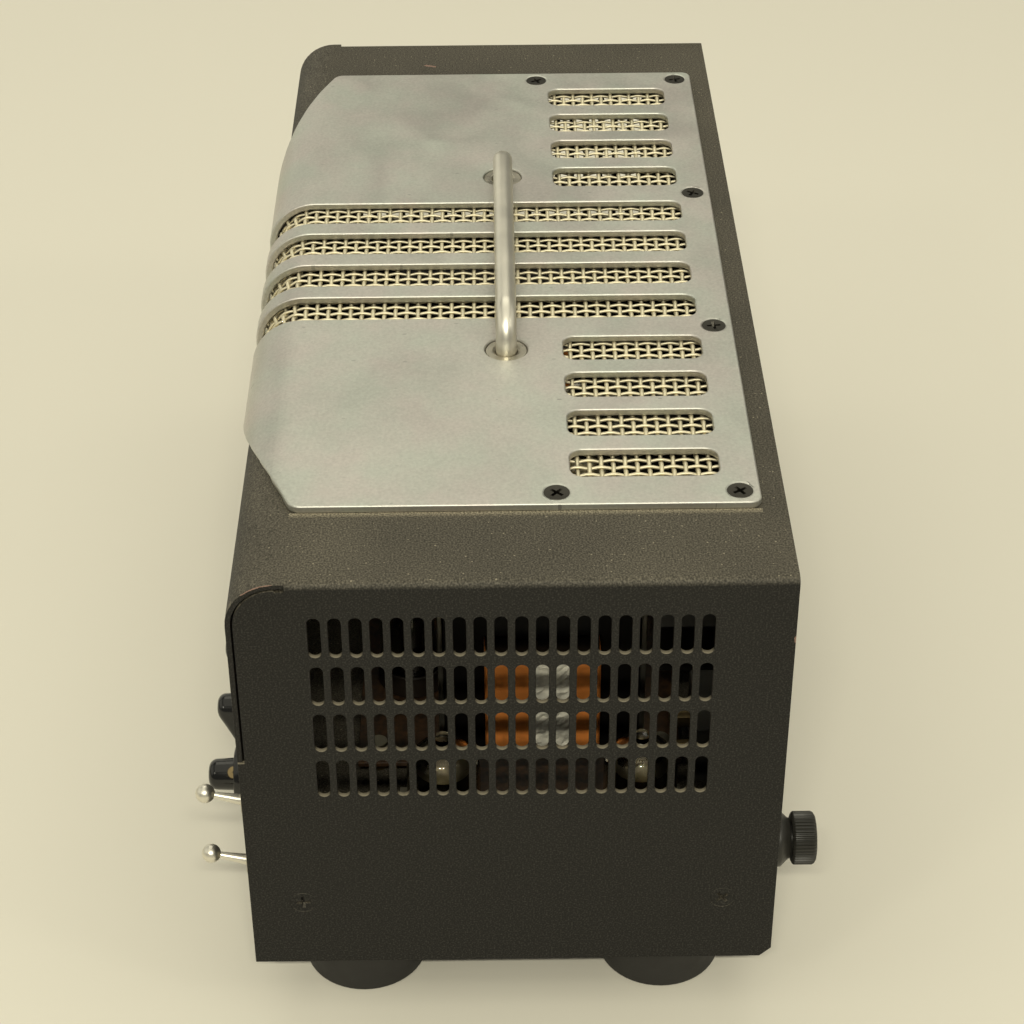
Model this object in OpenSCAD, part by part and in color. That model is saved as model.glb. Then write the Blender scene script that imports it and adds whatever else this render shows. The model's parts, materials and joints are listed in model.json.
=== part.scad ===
// Compact valve guitar amplifier head: a folded steel case with slotted ends,
// a wrapped aluminium grille plate on top, a pull-up handle, a row of pointer knobs,
// two toggle switches, and the valves and transformers that it holds.
// +X is the right-hand end seen from the front, -Y the front, +Z up, and the floor is Z = 0.

/* [Case] */
// Outer width of the case, end to end
case_w = 320; // [314:1:350]
// Outer depth of the case, front to back
case_d = 144; // [142:1:170]
// Height of the case without its feet
case_h = 132; // [130:1:160]
// Thickness of the cover's sheet
cover_t = 1.4; // [1:0.1:1.8]
// Thickness of the tray's sheet
tray_t = 1.4; // [1:0.1:1.8]
// Outer radius of the rolled front edge
front_r = 13; // [10:0.5:16]
// Outer radius of the fold between the top and each end
end_r = 2.4; // [2.2:0.1:4]
// Outer radius of the tray's folds
tray_r = 4; // [3:0.5:6]
// Height of the control panel, below the apron of the cover
panel_h = 74; // [70:1:80]
// Height of the end flanges that the cover is screwed to
flange_h = 36; // [32:1:44]
// Open seam between two folded edges
seam = 0.5; // [0.3:0.1:0.8]
// Chamfer on the low rear corner of each end
end_chamfer = 3; // [1:0.5:6]

/* [End vents] */
// Slots in one row
vent_cols = 20; // [12:1:21]
// Rows of slots on each end
vent_rows = 4; // [2:1:4]
// Spacing of the slots along a row
vent_pitch = 5.24; // [4.6:0.02:5.6]
// Spacing of the rows
vent_row_pitch = 15.7; // [14:0.1:17]
// Width of one slot
vent_w = 3.35; // [3:0.05:4]
// Height of one slot
vent_h = 12.5; // [9:0.5:13]
// Distance from the top of the case to the first row
vent_drop = 10.7; // [8:0.1:13]

/* [Grille plate] */
// Width of the plate
grille_w = 259; // [254:1:274]
// Thickness of the plate
grille_t = 2.2; // [1.8:0.1:3]
// Bare strip of the case behind the plate
grille_inset = 6.6; // [4:0.2:8]
// Width of the slots
slot_w = 12.6; // [10:0.1:14]
// Spacing of the slots
slot_pitch = 19.4; // [18.6:0.1:19.8]
// Rear end of the slots, from the back of the case
slot_inset = 16.4; // [15.6:0.2:19]
// Length of the short slots
slot_l = 39.4; // [30:0.2:42]
// Width of the tongue that comes down the front
tongue_w = 88; // [86:1:100]
// Bare apron between the tongue and the control panel
tongue_gap = 6; // [3:0.5:12]
// Wire diameter of the mesh under the plate
wire_d = 1.1; // [0.8:0.05:1.3]
// Spacing of the wires
wire_pitch = 3.3; // [3:0.05:3.6]

/* [Handle] */
// Diameter of the rod
rod_d = 6; // [5:0.2:7]
// Distance between the two legs
handle_span = 105.4; // [100:0.2:110]
// Bend radius of the rod's middle line
handle_bend_r = 9; // [8:0.5:14]
// Gap between the foot of the rod's bend and the plate when the handle is down
handle_gap = 0.3; // [0.2:0.1:4]
// How far the handle pulls up
handle_travel = 28; // [16:1:32]

/* [Feet] */
// Height of a foot
foot_h = 19; // [16:0.5:26]
// Diameter of a foot where it meets the case
foot_d = 38; // [34:0.5:42]
// Diameter of a foot on the floor
foot_floor_d = 35; // [30:0.5:38]
// Distance from an end of the case to the middle of a foot
foot_inset_x = 24; // [22:0.5:30]
// Distance from the front or back of the case to the middle of a foot
foot_inset_y = 29.5; // [22:0.5:34]

/* [Controls] */
// Spacing of the knobs
knob_pitch = 27.5; // [27:0.1:28]
// Height of the row of knobs above the bottom of the case
knob_row = 38; // [34:0.5:42]
// Distance from the right-hand end to the first knob
knob_inset = 36; // [34:0.5:38]
// Height of a knob
knob_h = 12.4; // [11.6:0.1:16]
// Diameter of a knob's skirt
skirt_d = 20; // [18:0.2:22]
// Length of a knob's pointer, from its axis
pointer_l = 12.6; // [11:0.2:13]
// Diameter of a control's shaft
shaft_d = 6; // [5.6:0.1:6.4]
// Distance from the right-hand end to the toggle switches
toggle_inset = 13; // [12:0.5:14]
// Distance between the two toggle switches
toggle_pitch = 22.2; // [20:0.2:24]
// Length of a toggle's lever, from its pivot to the middle of the ball
lever_l = 11.7; // [9:0.1:13]
// Angle of a lever above or below the middle
lever_tilt = 14; // [8:0.5:15]
// Diameter of the ball on a lever
ball_d = 5.3; // [4.4:0.1:6]

/* [Sockets] */
// Bore of a jack socket
jack_d = 6.5; // [6.4:0.05:6.8]
// Spacing of the jack sockets on the rear panel
jack_pitch = 28; // [24:1:32]
// Diameter of the fuse cap
fuse_cap_d = 14.8; // [14.4:0.1:17]
// Length of the fuse cap outside its holder
fuse_cap_l = 6.6; // [6:0.1:10]
// Distance from the right-hand end to the middle of the fuse holder
fuse_inset = 14; // [13:0.5:16]

/* [Valves and transformers] */
// Diameter of a small valve's glass
small_tube_d = 20.4; // [18:0.2:22]
// Height of a small valve's glass up to its dome
small_tube_h = 34; // [28:0.5:40]
// Diameter of a power valve's glass
power_tube_d = 22; // [20:0.2:24]
// Height of a power valve's glass up to its dome
power_tube_h = 50; // [40:0.5:56]
// Height of a transformer's winding window on the output side
output_window_h = 34; // [28:0.5:38]
// Stack of the output transformer's core
output_stack = 22; // [18:0.5:26]
// Height of the winding window of the mains transformer
mains_window_h = 44; // [36:0.5:50]
// Stack of the mains transformer's core
mains_stack = 34; // [28:0.5:40]

/* [Hidden] */
$fn = 48;

// Colours of the finishes
black_paint = "#262422";
satin_metal = "#b9b7aa";
bright_metal = "#d8d6cc";
black_screw = "#1b1a19";
rubber_black = "#1e1d1c";
knob_black = "#141414";
brass_gold = "#b8924a";
jewel_red = "#b3261e";
board_brown = "#3d2c20";
glass_clear = "#c9d3d2";
plate_grey = "#5a5a58";
coil_orange = "#c96a2a";
core_grey = "#3a3836";
can_blue = "#27406b";

// Clearances: a sheet over a sheet, a screw or a boss in its hole, a shaft that turns, two moving faces
fit = 0.3;
hole_clear = 0.1;
run_clear = 0.06;
play = 0.35;
// Overshoot of a cut past the face that it goes through
cut = 1;

// Planes of the case
base_z = foot_h;
floor_z = base_z + tray_t;
top_z = base_z + case_h;
panel_top = base_z + panel_h;
front_y = -case_d / 2;
back_y = case_d / 2;
end_x = case_w / 2;
roll_y = front_y + front_r;
roll_z = top_z - front_r;
tray_x = end_x - cover_t - fit;
inner_front = front_y + tray_t;
inner_back = back_y - tray_t;
end_front = front_y + max(cover_t, tray_t) + seam;
plate_top = top_z + grille_t;
// The slit beside the rolled edge ends this far behind the start of the roll
relief_l = 2.4;
relief_y = roll_y + relief_l;

// Slots in the rear lip
rear_cols = 30;
rear_rows = 2;
rear_pitch = 7.8;

// Screws
screw_r = 1.7;
screw_head_r = 3.5;
screw_head_h = 1.8;
screw_l = 7;
recess_w = 0.9;
recess_l = 4;
recess_depth = 1;
cover_screw_y = 57.5;
cover_screw_lift = 22.8;
cover_screw_z = base_z + cover_screw_lift;

// Slots, windows and screws of the grille plate
grille_x = grille_w / 2;
grille_back = back_y - grille_inset;
grille_corner_r = 3;
slot_r = 3.6;
slot_back = back_y - slot_inset;
slot_front = slot_back - slot_l;
tongue_low = panel_top + tongue_gap;
slot_rim = 6;
slot_low = tongue_low + slot_rim;
long_slots = [for (k = [-1.5 : 1 : 1.5]) k * slot_pitch];
short_slots = [for (side = [-1, 1], k = [0 : 3]) side * (2.7 + k) * slot_pitch];
window_rim = 1.4;
side_in = 2.7 * slot_pitch - slot_w / 2 - window_rim;
side_out = 5.7 * slot_pitch + slot_w / 2 + window_rim;
mid_x = 1.5 * slot_pitch + slot_w / 2 + window_rim;
window_back = slot_back + window_rim;
window_front = slot_front - window_rim;
window_low = slot_low - window_rim;
screw_edge_x = 5.5;
screw_edge_y = 5.4;
screw_slot_gap = 3.9;
grille_screw_x = grille_x - screw_edge_x;
grille_screw_back = grille_back - screw_edge_y;
grille_screw_mid = slot_front - screw_slot_gap;
grille_screw_in = (mid_x + side_in) / 2;
grille_screws_at = [
    for (side = [-1, 1])
        each [
            [side * grille_screw_x, grille_screw_back],
            [side * grille_screw_x, grille_screw_mid],
            [side * grille_screw_in, grille_screw_back]
        ]
];

// Shoulders of the plate: each front corner is cut on a straight slant that runs on round the roll
shoulder_slope = 2.4;
shoulder_steps = 6;
shoulder_r = 3.6;
roll_arc = PI / 2 * (front_r + grille_t);
function shoulder_x(s) = max(tongue_w / 2, grille_x - shoulder_slope * s);
slant_end = (grille_x - tongue_w / 2) / shoulder_slope;
slant_low = roll_z - max(0, slant_end - relief_l - roll_arc);
tongue_r = 6;

// Mesh
mesh_t = 2 * wire_d;
mesh_rim = 2;
net_pitch = 2 * wire_pitch;

// Handle
rod_r = rod_d / 2;
leg_x = handle_span / 2;
rod_z = plate_top + handle_gap + handle_bend_r;
bush_wall = 3;
bush_mouth = 0.7;
bush_sunk = 0.5;
bush_step = 1.1;
bush_depth = 8;
collar_wall = 2.5;
bush_head_r = rod_r + bush_wall;
bush_r = bush_head_r - bush_step;
bush_low = top_z - bush_depth;
bush_flange_t = 1.5;
collar_r = rod_r + collar_wall;
collar_h = 5;
collar_top = bush_low - handle_travel;
leg_end = 3;

// Feet
foot_recess_r = 7;
foot_recess_h = 9;
foot_screw_r = 2;
foot_head_r = 4;
foot_head_h = 3;
washer_r = 6.4;
washer_t = 1.2;
nut_h = 3.2;
nut_r = 4;
feet_at = [
    for (sx = [-1, 1], sy = [-1, 1]) [sx * (end_x - foot_inset_x), sy * (back_y - foot_inset_y)]
];

// Knobs and their controls
knob_count = 8;
knob_z = base_z + knob_row;
function knob_x(k) = end_x - knob_inset - (k - 1) * knob_pitch;
// Where each pointer rests, clockwise from straight up
knob_rest = [-137, 150, 150, 40, 0, 20, -30, 60];
knob_lift = 0.8;
knob_top_y = front_y - knob_lift - knob_h;
skirt_slant = 2;
skirt_top_r = skirt_d / 2 - skirt_slant;
skirt_h = 5;
tail_r = 4.9;
tail_back = 1;
tip_r = 1.3;
bar_level = 0.7;
bar_fall = 7.6;
shaft_r = shaft_d / 2;
bushing_wall = 0.9;
bushing_r = shaft_r + bushing_wall;
bushing_l = 3;
pot_r = 8.2;
pot_l = 9;
shaft_in = 6;
shaft_cover = 2.8;
nut_wall = 1.9;
pocket_gap = 0.9;
pocket_end_gap = 0.8;
set_screw_rise = 2.1;
pot_nut_r = bushing_r + nut_wall;
pot_nut_t = 2.2;
knob_pocket_r = pot_nut_r + pocket_gap;
knob_pocket_h = bushing_l - knob_lift + pocket_end_gap;
set_screw_r = 1.5;
set_screw_y = front_y - knob_lift - knob_pocket_h - set_screw_rise;

// Toggle switches
toggle_x = end_x - toggle_inset;
toggle_drop = 0.3;
toggle_mid = knob_z - toggle_drop;
toggle_bush_r = 3.1;
toggle_bore_r = 2.4;
toggle_bush_l = 1.6;
toggle_body = [8, 10, 13];
toggle_nut_r = 4.7;
toggle_nut_t = 1.4;
pivot_y = front_y;
pivot_r = toggle_bore_r - 2 * play;
trunnion_r = 1.1;
trunnion_rise = 0.1;
lever_r = 1.1;

// Jacks, pilot lamp, fuse and mains inlet
jack_r = jack_d / 2;
jack_wall = 1.5;
jack_nut_wall = 2.6;
jack_bush_r = jack_r + jack_wall;
jack_bush_l = 5;
jack_body = 17;
jack_body_l = 26;
jack_bore_l = 24;
jack_nut_r = jack_bush_r + jack_nut_wall;
jack_nut_t = 2.4;
input_inset = 23;
input_x = -end_x + input_inset;
pilot_x = (input_x + knob_x(knob_count)) / 2;
pilot_r = 5;
pilot_wall = 1.6;
pilot_rim_h = 3;
pilot_rim_w = 1.4;
pilot_rim_r = pilot_r + pilot_wall + pilot_rim_w;
pilot_l = 16;
lens_dome_r = 12;
lens_dome_h = 2;
// Rear row, from the right-hand end: the fuse, the mains inlet, three speaker jacks, two loop jacks
socket_row = 37;
fuse_row = 31.6;
fuse_to_inlet = 42;
inlet_to_speaker = 44;
speaker_to_loop = 50;
socket_z = base_z + socket_row;
fuse_x = end_x - fuse_inset;
fuse_z = base_z + fuse_row;
inlet_x = fuse_x - fuse_to_inlet;
speaker_x = [for (k = [0 : 2]) inlet_x - inlet_to_speaker - k * jack_pitch];
loop_x = [for (k = [0 : 1]) speaker_x[2] - speaker_to_loop - k * jack_pitch];
fuse_flange_rim = 0.5;
fuse_neck_step = 1.8;
fuse_flange_r = fuse_cap_d / 2 + fuse_flange_rim;
fuse_flange_t = 2;
fuse_cone_t = 2.4;
fuse_neck_r = fuse_cap_d / 2 - fuse_neck_step;
fuse_neck_l = 4.9;
fuse_body_r = 6.2;
fuse_body_l = 24;
fuse_stem_r = 4.4;
fuse_stem_l = 8;
fuse_r = 2.6;
fuse_l = 20;
fuse_nut_r = 8.6;
fuse_nut_t = 3;
cap_y = back_y + fuse_neck_l + fit;
inlet_w = 27;
inlet_h = 19.6;
inlet_l = 18;
inlet_wall = 1.5;
inlet_floor = 3;
inlet_flange_w = 50;
inlet_flange_h = 23;
inlet_flange_t = 3;
inlet_screw_x = 20;
pin_w = 2;
pin_h = 4;
pin_l = 11;
pin_tail = 6;
pin_spread = 7;
pin_drop = 2;

// Board, valves and capacitors
board_lift = 6;
board_t = 1.6;
board_z = floor_z + board_lift;
deck_z = board_z + board_t;
board_left = -46;
board_gap = 4;
board_right = tray_x - tray_t - board_gap;
board_front = -46;
board_back = 52;
waist_front = -18;
waist_back = 34;
spacer_r = 3;
board_screw_r = 1.4;
board_head_r = 2.7;
board_head_h = 2;
glass_t = 0.9;
glass_floor = 2;
tip_glass_r = 2.2;
tip_glass_h = 3;
tube_inset = 22;
tube_x = end_x - tube_inset;
near_tube_front = -18.7;
near_tube_back = 35.5;
mid_tube_x = 46;
mid_tube_y = -30;
power_x = 5;
power_y = 24;
power_pitch = 38;
preamp_at = [[tube_x, near_tube_front], [tube_x, near_tube_back], [mid_tube_x, mid_tube_y]];
power_at = [for (side = [-1, 1]) [power_x + side * power_pitch / 2, power_y]];
tube_base_r = 11;
tube_base_h = 8;
seat_z = deck_z + tube_base_h;
mica_t = 0.6;
can_r = 9;
can_h = 32;
can_x = -30;
can_y = -30;
can_pitch = 24;
lone_can_x = -34;
lone_can_y = 0;
cans_at = concat([for (k = [0 : 2]) [can_x + k * can_pitch, can_y]], [[lone_can_x, lone_can_y]]);

// Transformers: a tongue with two windows, three legs and a winding round the tongue
output_tongue = 15;
output_window_w = 9;
output_leg = 11;
winding_r = 1.8;
output_bulge = 9;
output_inset = 40;
output_lift = 31;
output_x = end_x - output_inset - output_bulge - output_stack / 2;
output_y = 9;
output_low = base_z + output_lift;
output_w = output_tongue + 2 * output_window_w + 2 * output_leg;
output_h = output_window_h + 2 * output_leg;
mains_tongue = 24;
mains_window_w = 12;
mains_leg = 12;
mains_bulge = 11;
mains_w = mains_tongue + 2 * mains_window_w + 2 * mains_leg;
mains_inset = 31;
mains_x = -(end_x - mains_inset - mains_bulge - mains_stack / 2);
mains_y = 0;
strap_t = 1.6;
strap_foot = 13;
strap_screw_r = 1.9;
strap_head_r = 3.4;
strap_head_h = 2.4;
output_strap_y = output_w / 2 + fit + strap_t + strap_foot / 2;
mains_foot = 9;
mains_foot_t = 2;
mains_strap_y = mains_w / 2 + mains_foot / 2;
strap_step = 4;
waist_gap = 4;
spacer_edge = 6;
spacer_waist = 8;
strap_w = output_stack - strap_step;
waist_left = output_x - strap_w / 2 - waist_gap;
waist_right = output_x + strap_w / 2 + waist_gap;
spacers_at = [
    for (x = [board_left + spacer_edge, waist_left - spacer_waist, waist_right + spacer_edge])
        each [[x, board_front + spacer_edge], [x, board_back - spacer_edge]]
];
transformer_screws_at = [
    for (side = [-1, 1])
        each [
            [output_x, output_y + side * output_strap_y, strap_t],
            [mains_x, mains_y + side * mains_strap_y, mains_foot_t]
        ]
];

// A flat shape in Y and Z, drawn out along X about the middle
module across(w) {
    translate([-w / 2, 0, 0]) rotate([90, 0, 90]) linear_extrude(w) children();
}

// A flat shape in X and Z, drawn out from y to y + depth
module through(y, depth) {
    translate([0, y + depth, 0]) rotate([90, 0, 0]) linear_extrude(depth) children();
}

// A flat shape in X and Y, drawn up from z
module up(z, h) {
    translate([0, 0, z]) linear_extrude(h) children();
}

// A round bar along Y, from y0 to y1
module bar_y(r, y0, y1) {
    translate([0, y0, 0]) rotate([-90, 0, 0]) cylinder(r = r, h = y1 - y0);
}

// A hexagon bar along Y, from y0 to y1
module hex_y(r, y0, y1) {
    translate([0, y0, 0]) rotate([-90, 0, 0]) cylinder(r = r, h = y1 - y0, $fn = 6);
}

// Rectangle with round corners, by its middle
module round_rect(w, h, r) {
    square([w - 2 * r, h], center = true);
    square([w, h - 2 * r], center = true);
    for (sx = [-1, 1], sy = [-1, 1])
        translate([sx * (w / 2 - r), sy * (h / 2 - r)]) circle(r);
}

// Slot with round ends, upright, by its middle
module slot(w, h) {
    square([w, h - w], center = true);
    for (side = [-1, 1])
        translate([0, side * (h - w) / 2]) circle(w / 2);
}

// What is left over outside a round corner, for cutting it; the corner points to +X and +Y
module corner_waste(r) {
    difference() {
        translate([-r, -r]) square(r + cut);
        translate([-r, -r]) circle(r);
    }
}

// Section of a sheet over the top, round the roll and down the front, out from the case's own face
module wrap(out, t, y_back, z_low) {
    r = front_r + out;
    translate([roll_y, top_z + out - t]) square([y_back - roll_y, t]);
    translate([front_y - out, z_low]) square([t, roll_z - z_low]);
    intersection() {
        translate([roll_y, roll_z])
            difference() {
                circle(r);
                circle(r - t);
            }
        translate([roll_y - r - cut, roll_z]) square(r + cut);
    }
}

// Countersunk cross-head screw, head face at Z = 0, shank down
module flat_screw(l) {
    difference() {
        union() {
            translate([0, 0, -screw_head_h])
                cylinder(r1 = screw_r, r2 = screw_head_r, h = screw_head_h);
            translate([0, 0, -l]) cylinder(r = screw_r, h = l - screw_head_h);
        }
        for (turn = [0, 90])
            rotate(turn) translate([-recess_l / 2, -recess_w / 2, -recess_depth])
                cube([recess_l, recess_w, recess_depth + cut]);
    }
}

// Countersunk hole for that screw, from the face at Z = 0 down
module flat_hole() {
    translate([0, 0, -screw_head_h])
        cylinder(r1 = screw_r + hole_clear, r2 = screw_head_r + hole_clear, h = screw_head_h);
    translate([0, 0, -screw_l]) cylinder(r = screw_r + hole_clear, h = screw_l);
    cylinder(r = screw_head_r + hole_clear, h = cut);
}

// Places of the end screws, each turned with its axis out of the end
module at_cover_screws() {
    for (side = [-1, 1], y = [-cover_screw_y, cover_screw_y])
        translate([side * end_x, y, cover_screw_z]) rotate([0, side * 90, 0]) children();
}

// Places of the plate's screws, on its upper face
module at_grille_screws() {
    for (p = grille_screws_at)
        translate([p[0], p[1], plate_top]) children();
}

// Places of the handle's two legs
module at_legs() {
    for (side = [-1, 1])
        translate([side * leg_x, 0, 0]) children();
}

// Places along the front panel
module at_knob(k) {
    translate([knob_x(k), 0, knob_z]) children();
}

module at_knobs() {
    for (k = [1 : knob_count])
        at_knob(k) children();
}

module at_toggles() {
    for (side = [-1, 1])
        translate([toggle_x, 0, toggle_mid + side * toggle_pitch / 2]) children();
}

// Places on the rear panel, turned so that -Y there points out of the back
module at_rear(xs, z) {
    for (x = xs)
        translate([x, 0, z]) rotate(180) children();
}

// Outline of the tray in Y and Z, drawn in by an inset, up to a height
module tray_outline(inset, high) {
    difference() {
        translate([front_y + inset, base_z + inset]) square([case_d - 2 * inset, high - inset]);
        for (side = [0, 1])
            mirror([side, 0]) translate([back_y - inset, base_z + inset])
                mirror([0, 1]) corner_waste(tray_r - inset);
    }
}

// Tray: bottom, control panel and rear panel in one fold, and the flanges that the ends are screwed to
module tray_sheets() {
    across(2 * tray_x) difference() {
        tray_outline(0, panel_h - seam);
        tray_outline(tray_t, panel_h + cut);
    }
    for (side = [-1, 1])
        translate([side * (tray_x - tray_t / 2), 0, 0]) across(tray_t) tray_outline(0, flange_h);
}

module front_holes() {
    at_knobs() bar_y(bushing_r + hole_clear, front_y - cut, inner_front + cut);
    at_toggles() bar_y(toggle_bush_r + hole_clear, front_y - cut, inner_front + cut);
    translate([input_x, 0, knob_z])
        bar_y(jack_bush_r + hole_clear, front_y - cut, inner_front + cut);
    translate([pilot_x, 0, knob_z])
        bar_y(pilot_r + pilot_wall + hole_clear, front_y - cut, inner_front + cut);
}

module rear_holes() {
    at_rear(concat(speaker_x, loop_x), socket_z)
        bar_y(jack_bush_r + hole_clear, front_y - cut, inner_front + cut);
    translate([fuse_x, 0, fuse_z])
        bar_y(fuse_body_r + hole_clear, inner_back - cut, back_y + cut);
    translate([inlet_x, 0, socket_z]) {
        through(inner_back - cut, tray_t + 2 * cut)
            square([inlet_w + 2 * hole_clear, inlet_h + 2 * hole_clear], center = true);
        for (side = [-1, 1])
            translate([side * inlet_screw_x, 0, 0])
                bar_y(screw_r + hole_clear, inner_back - cut, back_y + cut);
    }
}

module floor_holes() {
    for (p = feet_at)
        translate([p[0], p[1], base_z - cut])
            cylinder(r = foot_screw_r + hole_clear, h = tray_t + 2 * cut);
    for (p = spacers_at)
        translate([p[0], p[1], base_z - cut]) cylinder(r = board_screw_r, h = tray_t + 2 * cut);
    for (p = transformer_screws_at)
        translate([p[0], p[1], base_z - cut])
            cylinder(r = strap_screw_r + hole_clear, h = tray_t + 2 * cut);
}

module chassis_tray() {
    color(black_paint) difference() {
        tray_sheets();
        front_holes();
        rear_holes();
        floor_holes();
        at_cover_screws() translate([0, 0, -screw_l]) cylinder(r = screw_r + hole_clear, h = screw_l);
    }
}

// Outline of one end in Y and Z, with its rolled corner and the chamfer low at the back
module end_outline() {
    difference() {
        union() {
            translate([end_front, base_z]) square([back_y - end_front, roll_z - base_z]);
            translate([front_y, base_z]) square([end_front - front_y, panel_h - seam]);
            translate([roll_y, roll_z]) square([back_y - roll_y, front_r - end_r]);
            intersection() {
                translate([roll_y, roll_z]) circle(front_y + front_r - end_front);
                translate([end_front, roll_z]) square([roll_y - end_front, front_r]);
            }
        }
        translate([back_y, base_z]) rotate(45) square(end_chamfer * sqrt(2), center = true);
    }
}

module vent_field() {
    for (row = [0 : vent_rows - 1], col = [0 : vent_cols - 1])
        translate([
            (col - (vent_cols - 1) / 2) * vent_pitch,
            top_z - vent_drop - vent_h / 2 - row * vent_row_pitch
        ])
            slot(vent_w, vent_h);
}

module cover_ends() {
    for (side = [-1, 1])
        translate([side * (end_x - cover_t / 2), 0, 0]) across(cover_t)
            difference() {
                end_outline();
                vent_field();
            }
}

// Folds between the top and the ends, behind the slits
module cover_folds() {
    for (side = [-1, 1])
        translate([side * (end_x - end_r), relief_y, top_z - end_r]) rotate([-90, 0, 0])
            linear_extrude(back_y - relief_y)
                intersection() {
                    difference() {
                        circle(end_r);
                        circle(end_r - cover_t);
                    }
                    translate([side > 0 ? 0 : -end_r, -end_r]) square(end_r);
                }
}

// Rear lip with two rows of slots above the rear panel
module rear_lip() {
    through(back_y - cover_t, cover_t)
        difference() {
            union() {
                translate([-end_x + cover_t / 2, panel_top])
                    square([case_w - cover_t, case_h - panel_h - end_r]);
                translate([-end_x + end_r, panel_top])
                    square([case_w - 2 * end_r, case_h - panel_h - cover_t / 2]);
            }
            for (row = [0 : rear_rows - 1], col = [0 : rear_cols - 1])
                translate([
                    (col - (rear_cols - 1) / 2) * rear_pitch,
                    top_z - vent_drop - vent_h / 2 - cover_t - row * vent_row_pitch
                ])
                    slot(vent_w, vent_h);
        }
}

module cover_windows() {
    for (side = [-1, 1])
        up(top_z - cover_t - cut, cover_t + 2 * cut)
            translate([side * (side_in + side_out) / 2, (window_back + window_front) / 2])
                square([side_out - side_in, window_back - window_front], center = true);
    translate([-mid_x, front_y - cut, window_low])
        cube([2 * mid_x, window_back - front_y + cut, top_z + cut - window_low]);
}

module cover() {
    color(black_paint) difference() {
        union() {
            across(case_w) intersection() {
                wrap(0, cover_t, back_y, panel_top);
                translate([front_y, base_z]) square([relief_y - front_y, case_h]);
            }
            across(case_w - 2 * end_r)
                translate([relief_y, top_z - cover_t]) square([back_y - relief_y, cover_t]);
            cover_folds();
            cover_ends();
            rear_lip();
        }
        cover_windows();
        at_cover_screws() flat_hole();
        at_grille_screws() translate([0, 0, -screw_l]) cylinder(r = screw_r + hole_clear, h = screw_l);
        at_legs() translate([0, 0, bush_low]) cylinder(r = bush_r + hole_clear, h = top_z - bush_low + cut);
    }
}

// Waste outside the rounded corner where the slant meets the plate's +X end
module slant_corner_waste() {
    slant = [shoulder_x(relief_l) - grille_x, roll_y - relief_y];
    reach = shoulder_r * tan(90 + atan2(slant[0], slant[1]) / 2);
    far_x = grille_x + cut;
    difference() {
        polygon([
            [grille_x - shoulder_r, relief_y + reach], [far_x, relief_y + reach], [far_x, relief_y],
            [grille_x, relief_y], [grille_x, relief_y] + reach * slant / norm(slant)
        ]);
        translate([grille_x - shoulder_r, relief_y + reach]) circle(shoulder_r);
    }
}

// Waste outside the slanted shoulder on the +X side: flat part, roll and front
module shoulder_waste() {
    far_x = grille_x + cut;
    r_out = front_r + grille_t;
    turn = 90 / shoulder_steps;
    up(top_z - cut, grille_t + 2 * cut) {
        polygon([[grille_x, relief_y], [far_x, relief_y], [far_x, roll_y], [shoulder_x(relief_l), roll_y]]);
        slant_corner_waste();
    }
    for (k = [0 : shoulder_steps - 1]) {
        x0 = shoulder_x(relief_l + roll_arc * k / shoulder_steps);
        x1 = shoulder_x(relief_l + roll_arc * (k + 1) / shoulder_steps);
        half = r_out * tan(turn / 2);
        translate([0, roll_y, roll_z]) rotate([(k + 0.5) * turn, 0, 0])
            up(front_r - cut, grille_t + 2 * cut)
                polygon([[x0, half], [far_x, half], [far_x, -half], [x1, -half]]);
    }
    through(front_y - grille_t - cut, grille_t + 2 * cut) {
        polygon([
            [shoulder_x(relief_l + roll_arc), roll_z], [far_x, roll_z], [far_x, tongue_low - cut],
            [tongue_w / 2, tongue_low - cut], [tongue_w / 2, slant_low]
        ]);
        translate([tongue_w / 2, tongue_low]) rotate(-90) corner_waste(tongue_r);
    }
}

module grille_slots() {
    for (x = short_slots)
        up(top_z - cut, grille_t + 2 * cut)
            translate([x, (slot_back + slot_front) / 2]) round_rect(slot_w, slot_l, slot_r);
    for (x = long_slots) {
        up(top_z - cut, grille_t + 2 * cut)
            translate([x, (slot_back + front_y) / 2]) round_rect(slot_w, slot_back - front_y, slot_r);
        through(front_y - grille_t - cut, front_r + grille_t + cut)
            translate([x, (plate_top + cut + slot_r + slot_low) / 2])
                round_rect(slot_w, plate_top + cut + slot_r - slot_low, slot_r);
    }
}

module top_grille() {
    color(satin_metal) difference() {
        across(grille_w) wrap(grille_t, grille_t, grille_back, tongue_low);
        shoulder_waste();
        mirror([1, 0, 0]) shoulder_waste();
        up(top_z - cut, grille_t + 2 * cut) {
            translate([grille_x, grille_back]) corner_waste(grille_corner_r);
            translate([-grille_x, grille_back]) rotate(90) corner_waste(grille_corner_r);
        }
        grille_slots();
        at_grille_screws() flat_hole();
        at_legs() translate([0, 0, top_z - cut])
            cylinder(r = bush_head_r + hole_clear, h = grille_t + 2 * cut);
    }
}

// Net of square gaps in a rectangle, by its middle
module net(w, d) {
    nx = floor((w - 2 * mesh_rim) / net_pitch);
    ny = floor((d - 2 * mesh_rim) / net_pitch);
    difference() {
        square([w, d], center = true);
        for (i = [0 : nx - 1], j = [0 : ny - 1])
            translate([(i - (nx - 1) / 2) * net_pitch, (j - (ny - 1) / 2) * net_pitch])
                square(net_pitch - mesh_t, center = true);
    }
}

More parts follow.
